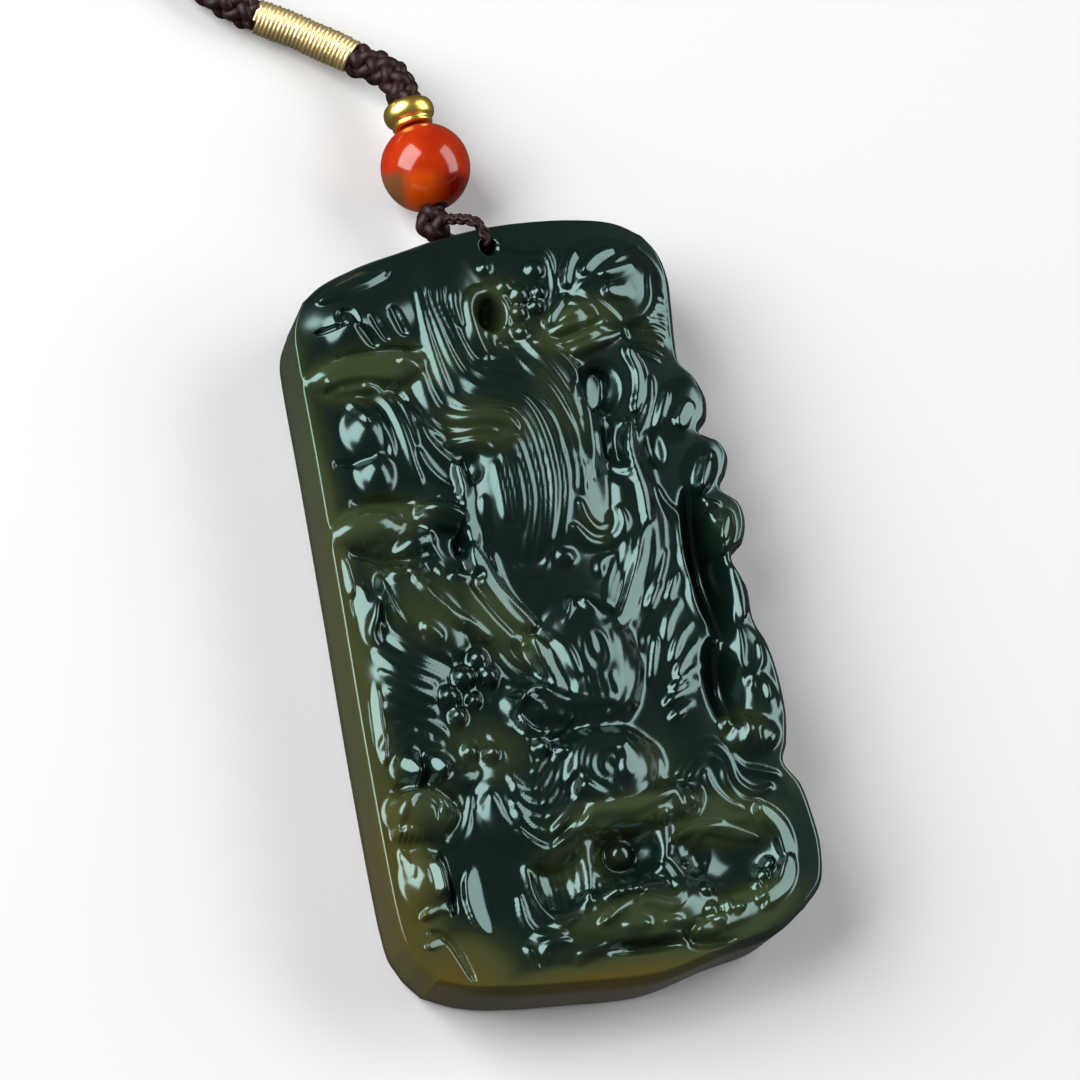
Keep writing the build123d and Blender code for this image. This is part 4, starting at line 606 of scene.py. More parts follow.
# Cut lines: half width, depth, places
Groove = namedtuple("Groove", "half_width depth places")
grooves = {
    "cloud_split": Groove(0.3, 0.5, [(-16.6, 27.0), (-15.2, 27.1), (-14.0, 27.2)]),
    "cloud_curl": Groove(0.35, 0.5, [(-14.4, 27.2), (-14.0, 28.5), (-13.2, 28.4), (-12.7, 27.2)]),
    "cloud_dip_a": Groove(0.5, 0.5, [(-12.7, 26.9), (-12.0, 26.0), (-11.3, 25.1)]),
    "cloud_dip_b": Groove(0.4, 0.45, [(-11.3, 27.9), (-10.8, 26.6), (-10.2, 25.5)]),
    "cloud_dip_c": Groove(0.5, 0.5, [(-9.3, 28.4), (-8.9, 27.0), (-8.5, 25.9)]),
    "band_under": Groove(0.45, 1.2, [(-16.6, 21.4), (-13.6, 21.6), (-10.6, 20.9), (-9.6, 19.6)]),
    "cloud_under": Groove(0.4, 0.9, [(-15.2, 24.4), (-12.0, 24.4), (-9.6, 24.6), (-7.4, 24.2)]),
    "horn_side": Groove(0.4, 1.0, [(-7.4, 1.8), (-6.6, 0.2), (-5.2, -2.2), (-3.6, -4.2)]),
    "jaw_groove": Groove(0.45, 1.4, [(-15.1, -22.0), (-15.0, -24.5), (-14.9, -27.4)]),
    "corner_groove": Groove(0.4, 0.5, [(-17.4, -28.6), (-16.4, -29.0), (-15.4, -30.4), (-14.4, -33.4)]),
    "curl_spiral": Groove(0.3, 0.8, [(-16.9, -17.5), (-15.8, -17.0), (-14.8, -17.9), (-15.0, -19.0)]),
    "curl_top": Groove(0.45, 1.1, [
        (-18.2, -16.2), (-16.6, -15.6), (-14.6, -16.2), (-13.2, -17.4), (-12.6, -18.6),
    ]),
    "lump_split": Groove(0.35, 1.1, [(-15.0, -12.9), (-15.0, -14.4), (-15.4, -15.6)]),
    "left_slot": Groove(0.45, 1.1, [(-17.4, 6.2), (-15.8, 5.6), (-14.6, 5.0), (-12.4, 4.9)]),
    "left_slot_b": Groove(0.45, 1.1, [(-16.4, 10.8), (-13.4, 10.4), (-11.0, 10.2)]),
    "lump_gap": Groove(0.4, 1.0, [(-17.2, 14.6), (-15.2, 14.5), (-13.6, 14.6)]),
    "wave_slot": Groove(0.5, 1.1, [(5.0, -32.6), (6.4, -33.6), (9.2, -33.8)]),
}

# Levels and widths in squares: the ground, the rim and the left wall's sharper rim, and where one
# turns into the other
ground_level = 7.6
rim_level, left_rim_level = 8.2, 9.4
rim_width, left_rim_width = 0.9, 0.5
rim_turns_at, rim_turns_over = -12, 6

# How softly two forms meet, the rounded share of a facet's half width, and the width of a cut's ends
blend = 0.5
facet_edge = 0.2
end_width = 0.35
facet_taper, short_taper = 0.2, 0.25
lock_overlap, narrowest_lock = 1.08, 0.12

# Highest rise or depth of a cut, as a share of its half width
stroke_steepness, lock_steepness, groove_steepness = 0.65, 0.6, 1.5


def through(places, share):
    """Points at the given shares (0 to 1) of a smooth curve through the given places."""
    places = np.array(places)
    knots = np.vstack([2 * places[0] - places[1], places, 2 * places[-1] - places[-2]])
    spans = len(places) - 1
    position = np.clip(np.asarray(share) * spans, 0, spans - 1e-9)
    span = position.astype(int)
    t = (position - span)[:, None]
    before, start, finish, after = (knots[span + i] for i in range(4))
    return 0.5 * (
        2 * start
        + (finish - before) * t
        + (2 * before - 5 * start + 4 * finish - after) * t**2
        + (3 * start - before - 3 * finish + after) * t**3
    )


def smooth_union(a, b):
    """The higher of two levels, rounded where they cross."""
    share = np.clip(0.5 + 0.5 * (a - b) / blend, 0, 1)
    return b * (1 - share) + a * share + blend * share * (1 - share)


def reach(x, y, form):
    """Distance from a form's centre, as a share of its half sizes."""
    turn = np.radians(form.turn)
    u = ((x - form.x) * np.cos(turn) + (y - form.y) * np.sin(turn)) / form.across
    v = ((y - form.y) * np.cos(turn) - (x - form.x) * np.sin(turn)) / form.along
    return np.hypot(u, v)


def tapered(share, in_taper, out_taper):
    """Share of the full width along a stroke whose ends narrow over the given shares of its length."""
    width = np.ones(len(share))
    if in_taper:
        width *= np.sqrt(np.clip(share / in_taper, 0, 1))
    if out_taper:
        width *= np.sqrt(np.clip((1 - share) / out_taper, 0, 1))
    return end_width + (1 - end_width) * width


def traced(cut, in_taper, out_taper):
    """A cut's centre line through its places, and its half width along it."""
    share = np.linspace(0, 1, 6 * len(cut.places))
    return through(cut.places, share), cut.half_width * tapered(share, in_taper, out_taper)


def beside(x, y, line, half_width):
    """Which places lie near a line, and how far off it they are as a share of its half width."""
    margin = half_width.max()
    low, high = line.min(axis=0) - margin, line.max(axis=0) + margin
    close = (x > low[0]) & (x < high[0]) & (y > low[1]) & (y < high[1])
    px, py = x[close], y[close]
    nearest = np.full(px.shape, 9.0)
    for start, finish, first, last in zip(line[:-1], line[1:], half_width[:-1], half_width[1:]):
        run = finish - start
        t = np.clip(((px - start[0]) * run[0] + (py - start[1]) * run[1]) / (run @ run), 0, 1)
        away = np.hypot(px - start[0] - t * run[0], py - start[1] - t * run[1])
        nearest = np.minimum(nearest, away / (first + (last - first) * t))
    return close, nearest


def draw(relief, x, y, line, half_width, rise, steepness):
    """Adds a stroke along a line to the relief, where it is the higher."""
    rise = min(rise, steepness * half_width.max())
    close, nearest = beside(x, y, line, half_width)
    relief[close] = np.maximum(relief[close], rise * np.clip(1 - nearest**2, 0, 1))


def bundle_lines(bundle):
    """Centre line and half width of each lock in a bundle."""
    share = np.linspace(0, 1, 41)
    left = through(bundle.left, share)
    right = through(bundle.right, share)
    flow = np.gradient((left + right) / 2, axis=0)
    across = np.stack([-flow[:, 1], flow[:, 0]], axis=1) / np.linalg.norm(flow, axis=1)[:, None]
    half_width = np.abs(((right - left) * across).sum(axis=1)) / (2 * bundle.locks) * lock_overlap
    half_width = np.maximum(half_width, narrowest_lock) * tapered(share, bundle.in_taper, bundle.out_taper)
    for lock in range(bundle.locks):
        place = (lock + 0.5) / bundle.locks
        yield left * (1 - place) + right * place, half_width


def comb_lines():
    """Centre line and half width of each tooth of the comb."""
    share = (np.arange(comb_teeth) + 0.5) / comb_teeth
    first, second = through(comb_first, share), through(comb_second, share)
    steps = [np.linalg.norm(np.gradient(guide, axis=0), axis=1) for guide in (first, second)]
    along = np.linspace(0, 1, 9)
    for start, finish, pitch in zip(first, second, sum(steps) / 2):
        run = finish - start
        middle = (start + finish) / 2 + np.array([-run[1], run[0]]) * comb_bow / 2
        half_width = pitch * comb_half_width * tapered(along, short_taper, short_taper)
        yield through([start, middle, finish], along), half_width


# The whole outline, anticlockwise from its lower left corner
share = np.linspace(0, 1, 91)
outline = np.vstack([
    through(bottom_side, share)[:-1], through(right_side, share)[:-1],
    through(top_side, share)[:0:-1], through(left_side, share)[:0:-1],
])


def form_level(x, y):
    """Height of the swelling forms and hollows above the back, in squares, at places on the drawing."""
    level = np.full(x.shape, ground_level)
    for form in swells.values():
        away = np.minimum(reach(x, y, form), 3)
        level = smooth_union(level, form.top - form.fall * away**form.fullness)
    for form in hollows.values():
        level -= form.depth * np.clip(1 - reach(x, y, form) ** 2, 0, 1)
    return level


def carved_level(x, y):
    """Height of the carved face above the back, in squares, at places on the drawing."""
    level = form_level(x, y)
    for facet in facets.values():
        line, half_width = traced(facet, facet_taper, facet_taper)
        close, nearest = beside(x, y, line, half_width)
        middle = line.mean(axis=0)
        plane = (
            form_level(*middle[:, None]) + facet.rise
            + facet.rightwards * (x[close] - middle[0]) + facet.upwards * (y[close] - middle[1])
        )
        level[close] += np.clip((1 - nearest) / facet_edge, 0, 1) * (plane - level[close])
    relief = np.zeros(x.shape)
    for stroke in strokes.values():
        line, half_width = traced(stroke, stroke.in_taper, stroke.out_taper)
        draw(relief, x, y, line, half_width, stroke.rise, stroke_steepness)
    for bundle in bundles.values():
        for line, half_width in bundle_lines(bundle):
            draw(relief, x, y, line, half_width, bundle.rise, lock_steepness)
    for line, half_width in comb_lines():
        draw(relief, x, y, line, half_width, comb_rise, lock_steepness)
    for pearl in pearls:
        away = np.hypot(x - pearl.x, y - pearl.y) / pearl.radius
        relief = np.maximum(relief, pearl.rise * np.sqrt(np.clip(1 - away**2, 0, 1)))
    level += relief
    for groove in grooves.values():
        cut = np.zeros(x.shape)
        line, half_width = traced(groove, short_taper, short_taper)
        draw(cut, x, y, line, half_width, groove.depth, groove_steepness)
        level -= cut
    edge_line = np.vstack([outline, outline[:1]])
    _, inside = beside(x, y, edge_line, np.ones(len(edge_line)))
    leftness = np.clip((rim_turns_at - x) / rim_turns_over, 0, 1)
    inward = np.clip(inside / (rim_width + (left_rim_width - rim_width) * leftness), 0, 1)
    rim = rim_level + (left_rim_level - rim_level) * leftness
    edge = rim + (squares_deep - rim) * (1 - np.sqrt(1 - inward**2)) + inward
    return np.minimum(np.minimum(level, squares_deep), edge)


def softened(level):
    """The levels on the grid, smoothed as by polishing, along and across."""
    for rows in (level, level.T):
        rows[1:-1] = (2 * rows[1:-1] + rows[2:] + rows[:-2]) / 4
    return level


def finished(name, bm, material):
    """A shown piece made from a bmesh, riding on the one body."""
    mesh = bpy.data.meshes.new(name)
    bm.to_mesh(mesh)
    bm.free()
    mesh.shade_smooth()
    piece = bpy.data.objects.new(name, mesh)
    bpy.context.scene.collection.objects.link(piece)
    mesh.materials.append(material)
    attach(piece, "root")
    return piece


# Painted glow: where the stone lets light through it is painted olive or amber: centre, half sizes, turn,
# strength
Glow = namedtuple("Glow", "x y across along turn strength")
glows = {
    "left_wall": Glow(-20.5, 2, 3.2, 44, 0, 0.9),
    "left_wall_low": Glow(-20, -28, 4.5, 12, 0, 1.0),
    "broad_band": Glow(-12.5, 22.6, 7, 2.6, 2, 0.9),
    "left_olive": Glow(-15, 8.6, 5.5, 2.4, 5, 0.85),
    "band_lock": Glow(-3, 16.2, 5, 2.4, -12, 0.55),
    "swirl": Glow(0.2, 27.2, 3, 3.6, 0, 0.7),
    "petal_base": Glow(7.4, 24.4, 5.2, 2.6, 14, 0.75),
    "comb": Glow(14.8, 23.6, 1.8, 3.4, 28, 0.4),
    "mane_right": Glow(4.2, 17.5, 1.8, 5, 20, 0.4),
    "brow": Glow(5.4, 5.6, 2.4, 2, 0, 0.4),
    "ear": Glow(-11.6, 0.2, 3.6, 4.2, 35, 0.6),
    "ear_upper": Glow(-14.2, 4.2, 3.2, 2.2, 0, 0.5),
    "horn_root": Glow(-5.6, -2.4, 2.6, 5.0, 35, 0.75),
    "cheek": Glow(-9.2, -13.4, 4.0, 3.0, -30, 0.5),
    "left_curl": Glow(-15.6, -18.0, 3.6, 2.4, -8, 0.6),
    "lip": Glow(1.6, -21.4, 6.6, 2.0, 0, 0.8),
    "nose_side": Glow(5.6, -17.2, 2.2, 2.6, 0, 0.5),
    "jaw": Glow(-3.0, -24.6, 4.5, 2.4, 0, 0.6),
    "lower_jaw": Glow(1.0, -30.6, 7.0, 2.2, 0, 0.7),
    "ring": Glow(10.6, -22.8, 6.0, 2.4, -5, 0.85),
    "ring_low": Glow(11.0, -31.6, 6.5, 2.4, 14, 0.8),
    "right_paw": Glow(14.6, -14.8, 2.8, 2.2, 0, 0.4),
    "lower_lobe": Glow(18.6, -19.0, 1.6, 3.5, 0, 0.5),
    "middle_lobe": Glow(18.0, 4.2, 2.0, 2.6, -25, 0.45),
    "bottom_edge": Glow(-4, -36.5, 20, 3.6, 0, 0.9),
    "corner": Glow(-16.5, -33.5, 6.5, 5.0, 0, 0.9),
}
ambers = {
    "bottom_edge": Glow(-5, -37.5, 17, 3.0, 0, 0.9),
    "corner": Glow(-18.5, -36.0, 6.5, 4.5, 30, 0.8),
    "left_wall": Glow(-20.5, -6, 2.6, 22, 0, 0.25),
    "left_wall_low": Glow(-20.5, -27, 3.6, 13, 0, 0.5),
}


def glow_at(x, y, zones):
    """How far the zones' colour shows (0 to 1) at places on the drawing."""
    share = np.zeros(x.shape)
    for zone in zones.values():
        share = np.maximum(share, zone.strength * np.clip(1.7 - 1.2 * reach(x, y, zone), 0, 1))
    return share


def shader_of(material):
    """The material's node tree, its main shader, and a function that adds a node with set inputs."""
    material.use_nodes = True
    tree = material.node_tree

    def add(kind, **inputs):
        node = tree.nodes.new(kind)
        for name, value in inputs.items():
            socket = node.inputs[name.replace("_", " ")]
            if isinstance(value, bpy.types.NodeSocket):
                tree.links.new(value, socket)
            else:
                socket.default_value = value
        return node

    return tree, tree.nodes["Principled BSDF"], add


def ramp(add, factor, stops):
    """A colour ramp: places from 0 to 1, each with its colour."""
    node = add("ShaderNodeValToRGB", Fac=factor)
    elements = node.color_ramp.elements
    while len(elements) < len(stops):
        elements.new(0.5)
    for element, (place, colour) in zip(elements, stops):
        element.position = place
        element.color = (*colour, 1)
    return node.outputs["Color"]


def mixed(add, factor, first, second):
    """One colour where the factor is 0, going over to the other where it is 1."""
    return add("ShaderNodeMixRGB", Fac=factor, Color1=first, Color2=second).outputs["Color"]


def dented(tree, add, shader, height, distance, strength):
    """Fine surface relief from a height."""
    bump = add("ShaderNodeBump", Height=height, Distance=distance, Strength=strength)
    tree.links.new(bump.outputs["Normal"], shader.inputs["Normal"])


jade = bpy.data.materials.new("polished_dark_jade")
tree, shader, add = shader_of(jade)
place = add("ShaderNodeTexCoord").outputs["Object"]
clouding = add("ShaderNodeTexNoise", Vector=place, Scale=90.0, Detail=5.0, Roughness=0.6).outputs["Fac"]
# Painted glow: the olive attribute lifts the jade's colour where light would come through the stone
olive = add("ShaderNodeAttribute")
olive.attribute_name = "olive"
shade = add("ShaderNodeMath")
shade.operation = "MULTIPLY_ADD"
tree.links.new(clouding, shade.inputs[0])
shade.inputs[1].default_value = 0.5
tree.links.new(olive.outputs["Fac"], shade.inputs[2])
colour = ramp(add, shade.outputs["Value"], [
    (0.20, (0.0016, 0.0062, 0.0042)),
    (0.45, (0.0032, 0.0088, 0.0052)),
    (0.75, (0.0120, 0.0175, 0.0060)),
    (1.0, (0.0255, 0.0375, 0.0135)),
])
# Painted glow: amber where light would come through the stone near its bottom edge, corner and left wall
amber = add("ShaderNodeAttribute")
amber.attribute_name = "amber"
colour = mixed(add, amber.outputs["Fac"], colour, (0.075, 0.048, 0.003, 1))
tree.links.new(colour, shader.inputs["Base Color"])
shader.inputs["Roughness"].default_value = 0.18
shader.inputs["IOR"].default_value = 1.62
shader.inputs["Specular Tint"].default_value = (0.65, 1.0, 0.96, 1)
fine = add("ShaderNodeTexNoise", Vector=place, Scale=900.0, Detail=3.0).outputs["Fac"]
dented(tree, add, shader, fine, 0.02 * mm, 0.25)

squares_across, squares_along = np.ptp(outline, axis=0)
square = Vector((
    (plaque_high.x - plaque_low.x) / squares_across,
    (plaque_high.y - plaque_low.y) / squares_along,
    plaque_high.z / squares_deep,
))

bm = bmesh.new()
bmesh.ops.create_grid(bm, x_segments=cells_across, y_segments=cells_along, size=0.5)
places = np.array([vert.co for vert in bm.verts])
u, v = places[:, 0] + 0.5, places[:, 1] + 0.5
bottom, top = through(bottom_side, u), through(top_side, u)
left, right = through(left_side, v), through(right_side, v)
corners = [np.array(corner) for corner in (bottom_side[0], bottom_side[-1], top_side[0], top_side[-1])]
across, along = u[:, None], v[:, None]
drawn = (
    (1 - across) * left + across * right + (1 - along) * bottom + along * top
    - (1 - across) * (1 - along) * corners[0] - across * (1 - along) * corners[1]
    - (1 - across) * along * corners[2] - across * along * corners[3]
)
level = softened(carved_level(drawn[:, 0], drawn[:, 1]).reshape(cells_along + 1, cells_across + 1)).ravel()
for vert, place, height in zip(bm.verts, drawn, level):
    vert.co = ((place[0] - middle_x) * square.x, (place[1] - middle_y) * square.y, height * square.z)

# The side walls go down from the rim in bands, then the back's chamfer and the flat back close it
back_chamfer = 0.6 * mm
edges = [edge for edge in bm.edges if edge.is_boundary]
for share in (3 / 4, 2 / 3, 1 / 2, None, 0):
    made = bmesh.ops.extrude_edge_only(bm, edges=edges)["geom"]
    edges = [item for item in made if isinstance(item, bmesh.types.BMEdge)]
    for vert in (item for item in made if isinstance(item, bmesh.types.BMVert)):
        if share is None:
            vert.co.z = back_chamfer
        else:
            vert.co.z *= share
        if share == 0:
            vert.co.x *= 1 - back_chamfer / plaque_high.x
            vert.co.y *= 1 - back_chamfer / plaque_high.y
bmesh.ops.edgeloop_fill(bm, edges=edges)
bmesh.ops.recalc_face_normals(bm, faces=bm.faces)
plaque = finished("carved_plaque", bm, jade)

# The slanted cord hole, from its mouth on the face to the top edge
hole_radius, hole_inset, drill_length = 0.85, 1.8, 40
hole_mouth = Vector((0.85, plaque_high.y / mm - hole_inset, rim_level * square.z / mm))
hole_slant, hole_turn = np.radians(24), np.radians(15)
hole_way = Vector((
    -np.sin(hole_slant) * np.sin(hole_turn), np.sin(hole_slant) * np.cos(hole_turn), -np.cos(hole_slant),
))

# A drill as wide as the hole is run through the stone, and leaves its bore
drill = bpy.data.objects.new("drill", bpy.data.meshes.new("drill"))
bm = bmesh.new()
bmesh.ops.create_cone(
    bm, cap_ends=True, segments=32, depth=drill_length * mm,
    radius1=hole_radius * mm, radius2=hole_radius * mm,
    matrix=Matrix.Translation(hole_mouth * mm) @ hole_way.to_track_quat("Z", "Y").to_matrix().to_4x4(),
)
bm.to_mesh(drill.data)
bm.free()
drill.data.shade_smooth()
bpy.context.scene.collection.objects.link(drill)
boring = plaque.modifiers.new("cord_hole", "BOOLEAN")
boring.operation = "DIFFERENCE"
boring.object = drill
bored = bpy.data.meshes.new_from_object(plaque.evaluated_get(bpy.context.evaluated_depsgraph_get()))
plaque.modifiers.clear()
plaque.data = bored
bpy.data.objects.remove(drill)

# The painted glow where light comes through, kept on the stone for its material
surface = np.array([vert.co for vert in plaque.data.vertices])
for name, zones in (("olive", glows), ("amber", ambers)):
    glow = glow_at(surface[:, 0] / square.x + middle_x, surface[:, 1] / square.y + middle_y, zones)
    plaque.data.attributes.new(name, "FLOAT", "POINT").data.foreach_set("value", glow)
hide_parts("dragon_plaque")

# Loop cord. A thin plaited cord from the knot under the bead, over the plaque's top edge and back
# through the slanted hole.
def route_points(places, spacing):
    """Evenly spaced points along a smooth curve guided by a cord's route, given in millimetres."""
    guide = bpy.data.curves.new("guide", "CURVE")
    guide.dimensions = "3D"
    spline = guide.splines.new("NURBS")
    spline.points.add(len(places) - 1)
    for point, place in zip(spline.points, places):
        point.co = (*(Vector(place) * mm), 1)
    spline.order_u = 3
    spline.use_endpoint_u = True
    spline.resolution_u = 24
    holder = bpy.data.objects.new("guide", guide)
    read = np.array([vert.co for vert in bpy.data.meshes.new_from_object(holder).vertices])
    bpy.data.objects.remove(holder)
    run = np.concatenate([[0], np.cumsum(np.linalg.norm(np.diff(read, axis=0), axis=1))])
    even = np.linspace(0, run[-1], max(2, round(run[-1] / spacing)) + 1)
    return np.stack([np.interp(even, run, read[:, axis]) for axis in range(3)], axis=1), even


def frames_along(points):
    """Two directions across the route at each point, carried along it without twist."""
    ahead = np.gradient(points, axis=0)
    ahead /= np.linalg.norm(ahead, axis=1)[:, None]
    side = np.cross(ahead[0], (0, 0.3, 1))
    sides = []
    for way in ahead:
        side = side - way * (side @ way)
        side = side / np.linalg.norm(side)
        sides.append(side)
    sides = np.array(sides)
    return sides, np.cross(sides, ahead)


def tubes(name, lines, material, sides=8):
    """One shown piece made of round strands: each line has its points and its thickness."""
    curve = bpy.data.curves.new(name, "CURVE")
    curve.dimensions = "3D"
    curve.bevel_depth = 0.5
    curve.bevel_resolution = (sides - 4) // 2
    curve.use_fill_caps = True
    for line, thickness in lines:
        spline = curve.splines.new("POLY")
        spline.points.add(len(line) - 1)
        spline.points.foreach_set("co", np.column_stack([line, np.ones(len(line))]).ravel())
        spline.points.foreach_set("radius", np.full(len(line), thickness))
    holder = bpy.data.objects.new(name, curve)
    mesh = bpy.data.meshes.new_from_object(holder)
    bpy.data.objects.remove(holder)
    mesh.materials.clear()
    mesh.materials.append(material)
    mesh.shade_smooth()
    piece = bpy.data.objects.new(name, mesh)
    bpy.context.scene.collection.objects.link(piece)
    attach(piece, "root")
    return piece


def plait(name, places, diameter, pairs, pitch, spacing, material, sides=8, domed=False):
    """A round plait: so many strands wind each way, over one and under the next."""
    points, even = route_points(places, spacing)
    across, up = frames_along(points)
    thickness = diameter * mm * plait_share
    wave = (diameter * mm - thickness) / 2 * plait_wave
    middle = (diameter * mm - thickness) / 2 - wave
    shape = np.ones(len(even))
    if domed:
        shape = np.sqrt(np.clip(dome_opening - (2 * even / even[-1] - 1) ** 2, 0, 1))
    lines = [(points, thickness * core_share)]
    for way in (1, -1):
        radius = (middle + way * wave * np.cos(pairs * 2 * np.pi * even / pitch)) * shape
        for strand in range(pairs):
            angle = 2 * np.pi * (strand / pairs + way * even / pitch)
            offset = np.cos(angle)[:, None] * across + np.sin(angle)[:, None] * up
            lines.append((points + radius[:, None] * offset, thickness))
    return tubes(name, lines, material, sides)


# A strand's thickness, its weave in and out and the core that fills the plait, as shares, and how
# far the ends of a domed plait stay open
plait_share, plait_wave, core_share, dome_opening = 0.36, 0.25, 1.2, 1.08
dark_cord = bpy.data.materials.new("dark_nylon_strands")
tree, shader, add = shader_of(dark_cord)
place = add("ShaderNodeTexCoord").outputs["Object"]
blotch = add("ShaderNodeTexNoise", Vector=place, Scale=1500.0, Detail=3.0, Roughness=0.7).outputs["Fac"]
colour = ramp(add, blotch, [
    (0.3, (0.006, 0.0015, 0.002)), (0.55, (0.017, 0.004, 0.0045)), (0.75, (0.045, 0.014, 0.013)),
])
tree.links.new(colour, shader.inputs["Base Color"])
shader.inputs["Roughness"].default_value = 0.5
shader.inputs["Specular IOR Level"].default_value = 0.25
fibres = add("ShaderNodeTexNoise", Vector=place, Scale=5200.0, Detail=2.0).outputs["Fac"]
dented(tree, add, shader, fibres, 0.05 * mm, 0.7)

loop_cord_diameter = 1.15
string_lean = np.radians(4.5)
string_way = Vector((-np.sin(string_lean), np.cos(string_lean), 0))
string_right = Vector((string_way.y, -string_way.x, 0))
bead_low, bead_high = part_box("agate_bead")
bead_centre = (bead_low + bead_high) / 2 / mm
knot_low, knot_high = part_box("bead_knot")
knot_middle = (knot_low + knot_high) / 2 / mm
hole_foot = hole_mouth + hole_way * (hole_inset / hole_way.y)
loop_route = [
    knot_middle + Vector((0.45, 0, 0.3)) * loop_cord_diameter,
    hole_mouth + Vector((-0.7, 2.2, 0.85)) * loop_cord_diameter,
    hole_mouth + Vector((0.1, 0.6, 1.1)) * loop_cord_diameter,
    hole_mouth + Vector((0, -0.15, -0.15)) * loop_cord_diameter,
    hole_foot + 0.85 * loop_cord_diameter * hole_way,
    knot_middle + Vector((-0.4, 0, -0.2)) * loop_cord_diameter,
]
thin_loop = plait("plaited_loop", loop_route, loop_cord_diameter, 2, 2.6 * mm, 0.12 * mm, dark_cord)
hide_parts("loop_cord")

# Bead knot. The dark cord is tied under the bead into one short domed knot of the same strands. It
# holds the bead up, and both ends of the loop cord come out of it.
def ball_route(middle, half_length, way):
    """Places along the axis of a knot that ends just inside its half length."""
    return [middle + share * half_length * way for share in (-0.95, -0.3, 0.3, 0.95)]


knot_route = ball_route(knot_middle, (knot_high.y - knot_low.y) / mm / 2, string_way)
bead_knot = plait("tied_knot", knot_route, 3.4, 3, 6.5 * mm, 0.08 * mm, dark_cord, domed=True)
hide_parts("bead_knot")


# Agate bead. One ball of red agate, polished and drilled through for the thread. A level band lies
# low in the stone, brown on the left, clear orange in the middle and dark red on the right; the clear
# orange middle is painted glow of light coming through the stone.
def turned(bm, profile, centre):
    """Spins a profile of places (distance from the string's axis, height along it) about the axis."""
    places = [centre + string_right * radius + string_way * height for radius, height in profile]
    verts = [bm.verts.new(place * mm) for place in places]
    edges = [bm.edges.new(pair) for pair in zip(verts, [*verts[1:], verts[0]])]
    bmesh.ops.spin(
        bm, geom=[*verts, *edges], axis=string_way, cent=centre * mm,
        angle=2 * np.pi, steps=64, use_merge=True,
    )
    bmesh.ops.recalc_face_normals(bm, faces=bm.faces)


bead_radius, bore_radius = 4.0, 1.0
agate = bpy.data.materials.new("banded_agate")
tree, shader, add = shader_of(agate)
place = add("ShaderNodeTexCoord").outputs["Object"]
from_centre = add("ShaderNodeVectorMath")
from_centre.operation = "SUBTRACT"
tree.links.new(place, from_centre.inputs[0])
from_centre.inputs[1].default_value = bead_centre * mm


def along_axis(direction):
    """How far the place is from the bead's centre along a direction, in bead radii."""
    node = add("ShaderNodeVectorMath")
    node.operation = "DOT_PRODUCT"
    tree.links.new(from_centre.outputs["Vector"], node.inputs[0])
    node.inputs[1].default_value = Vector(direction) / (bead_radius * mm)
    return node.outputs["Value"]


def remapped(value, low, high):
    """A value taken from its own range to 0 and 1."""
    return add("ShaderNodeMapRange", Value=value, From_Min=low, From_Max=high).outputs["Result"]


upward = along_axis((0.136, 0.946, 0.295))
rightward = along_axis((0.949, -0.210, 0.234))
haze = add("ShaderNodeTexNoise", Vector=place, Scale=240.0, Detail=3.0, Roughness=0.55).outputs["Fac"]
upper = mixed(add, remapped(haze, 0.35, 0.7), (0.26, 0.011, 0.0006, 1), (0.40, 0.028, 0.001, 1))
low_left = (0.13, 0.045, 0.014, 1)
# Painted glow: the clear orange middle of the lower band stands in for light coming through the stone
low_middle_glow = (0.46, 0.050, 0.001, 1)
low_right = (0.13, 0.003, 0.0005, 1)
lower = mixed(add, remapped(rightward, -0.55, -0.25), low_left, low_middle_glow)
lower = mixed(add, remapped(rightward, 0.15, 0.6), lower, low_right)
colour = mixed(add, remapped(upward, -0.30, -0.10), lower, upper)
tree.links.new(colour, shader.inputs["Base Color"])
shader.inputs["Roughness"].default_value = 0.13
shader.inputs["IOR"].default_value = 1.46

bore_angle = np.arcsin(bore_radius / bead_radius)
arc = np.linspace(bore_angle, np.pi - bore_angle, 49)
bm = bmesh.new()
turned(bm, [(bead_radius * np.sin(a), bead_radius * np.cos(a)) for a in arc], bead_centre)
bead = finished("drilled_bead", bm, agate)
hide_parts("agate_bead")

# Bead thread. The dark thread that runs hidden through the bead and the spacer. It stays as it is
# in the frame, and only takes the cord's material.
for thread in (item for item in bpy.data.objects if item.name.startswith("bead_thread")):
    thread.data.materials.clear()
    thread.data.materials.append(dark_cord)

# Gold spacer. A gilt metal ring with a thin lip against the bead, turned in one piece, drilled for
# the thread and polished.
gilt = bpy.data.materials.new("polished_gilt")
tree, shader, add = shader_of(gilt)
place = add("ShaderNodeTexCoord").outputs["Object"]
wear = add("ShaderNodeTexNoise", Vector=place, Scale=700.0, Detail=4.0).outputs["Fac"]
colour = ramp(add, wear, [(0.3, (0.95, 0.66, 0.12)), (0.7, (1.0, 0.80, 0.22))])
tree.links.new(colour, shader.inputs["Base Color"])
shader.inputs["Metallic"].default_value = 1
shader.inputs["Roughness"].default_value = 0.3
dented(tree, add, shader, wear, 0.02 * mm, 0.4)

spacer_foot = bead_radius * np.cos(bore_angle) + 0.06
lip_radius, lip_height = 1.85, 0.45
ring_radius, ring_height = 2.3, 2.0
turn = np.linspace(0, np.pi, 25)
lip_profile = [
    (
        bore_radius + (lip_radius - bore_radius) * np.sin(a) ** 0.5,
        spacer_foot + lip_height * (1 - np.cos(a)) / 2,
    )
    for a in turn[:19]
]
ring_profile = [
    (
        bore_radius + (ring_radius - bore_radius) * np.sin(a) ** 0.55,
        spacer_foot + lip_height + ring_height * (1 - np.cos(a)) / 2,
    )
    for a in turn[4:]
]
bm = bmesh.new()
turned(bm, lip_profile + ring_profile, bead_centre)
spacer = finished("gilt_ring", bm, gilt)
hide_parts("gold_spacer")

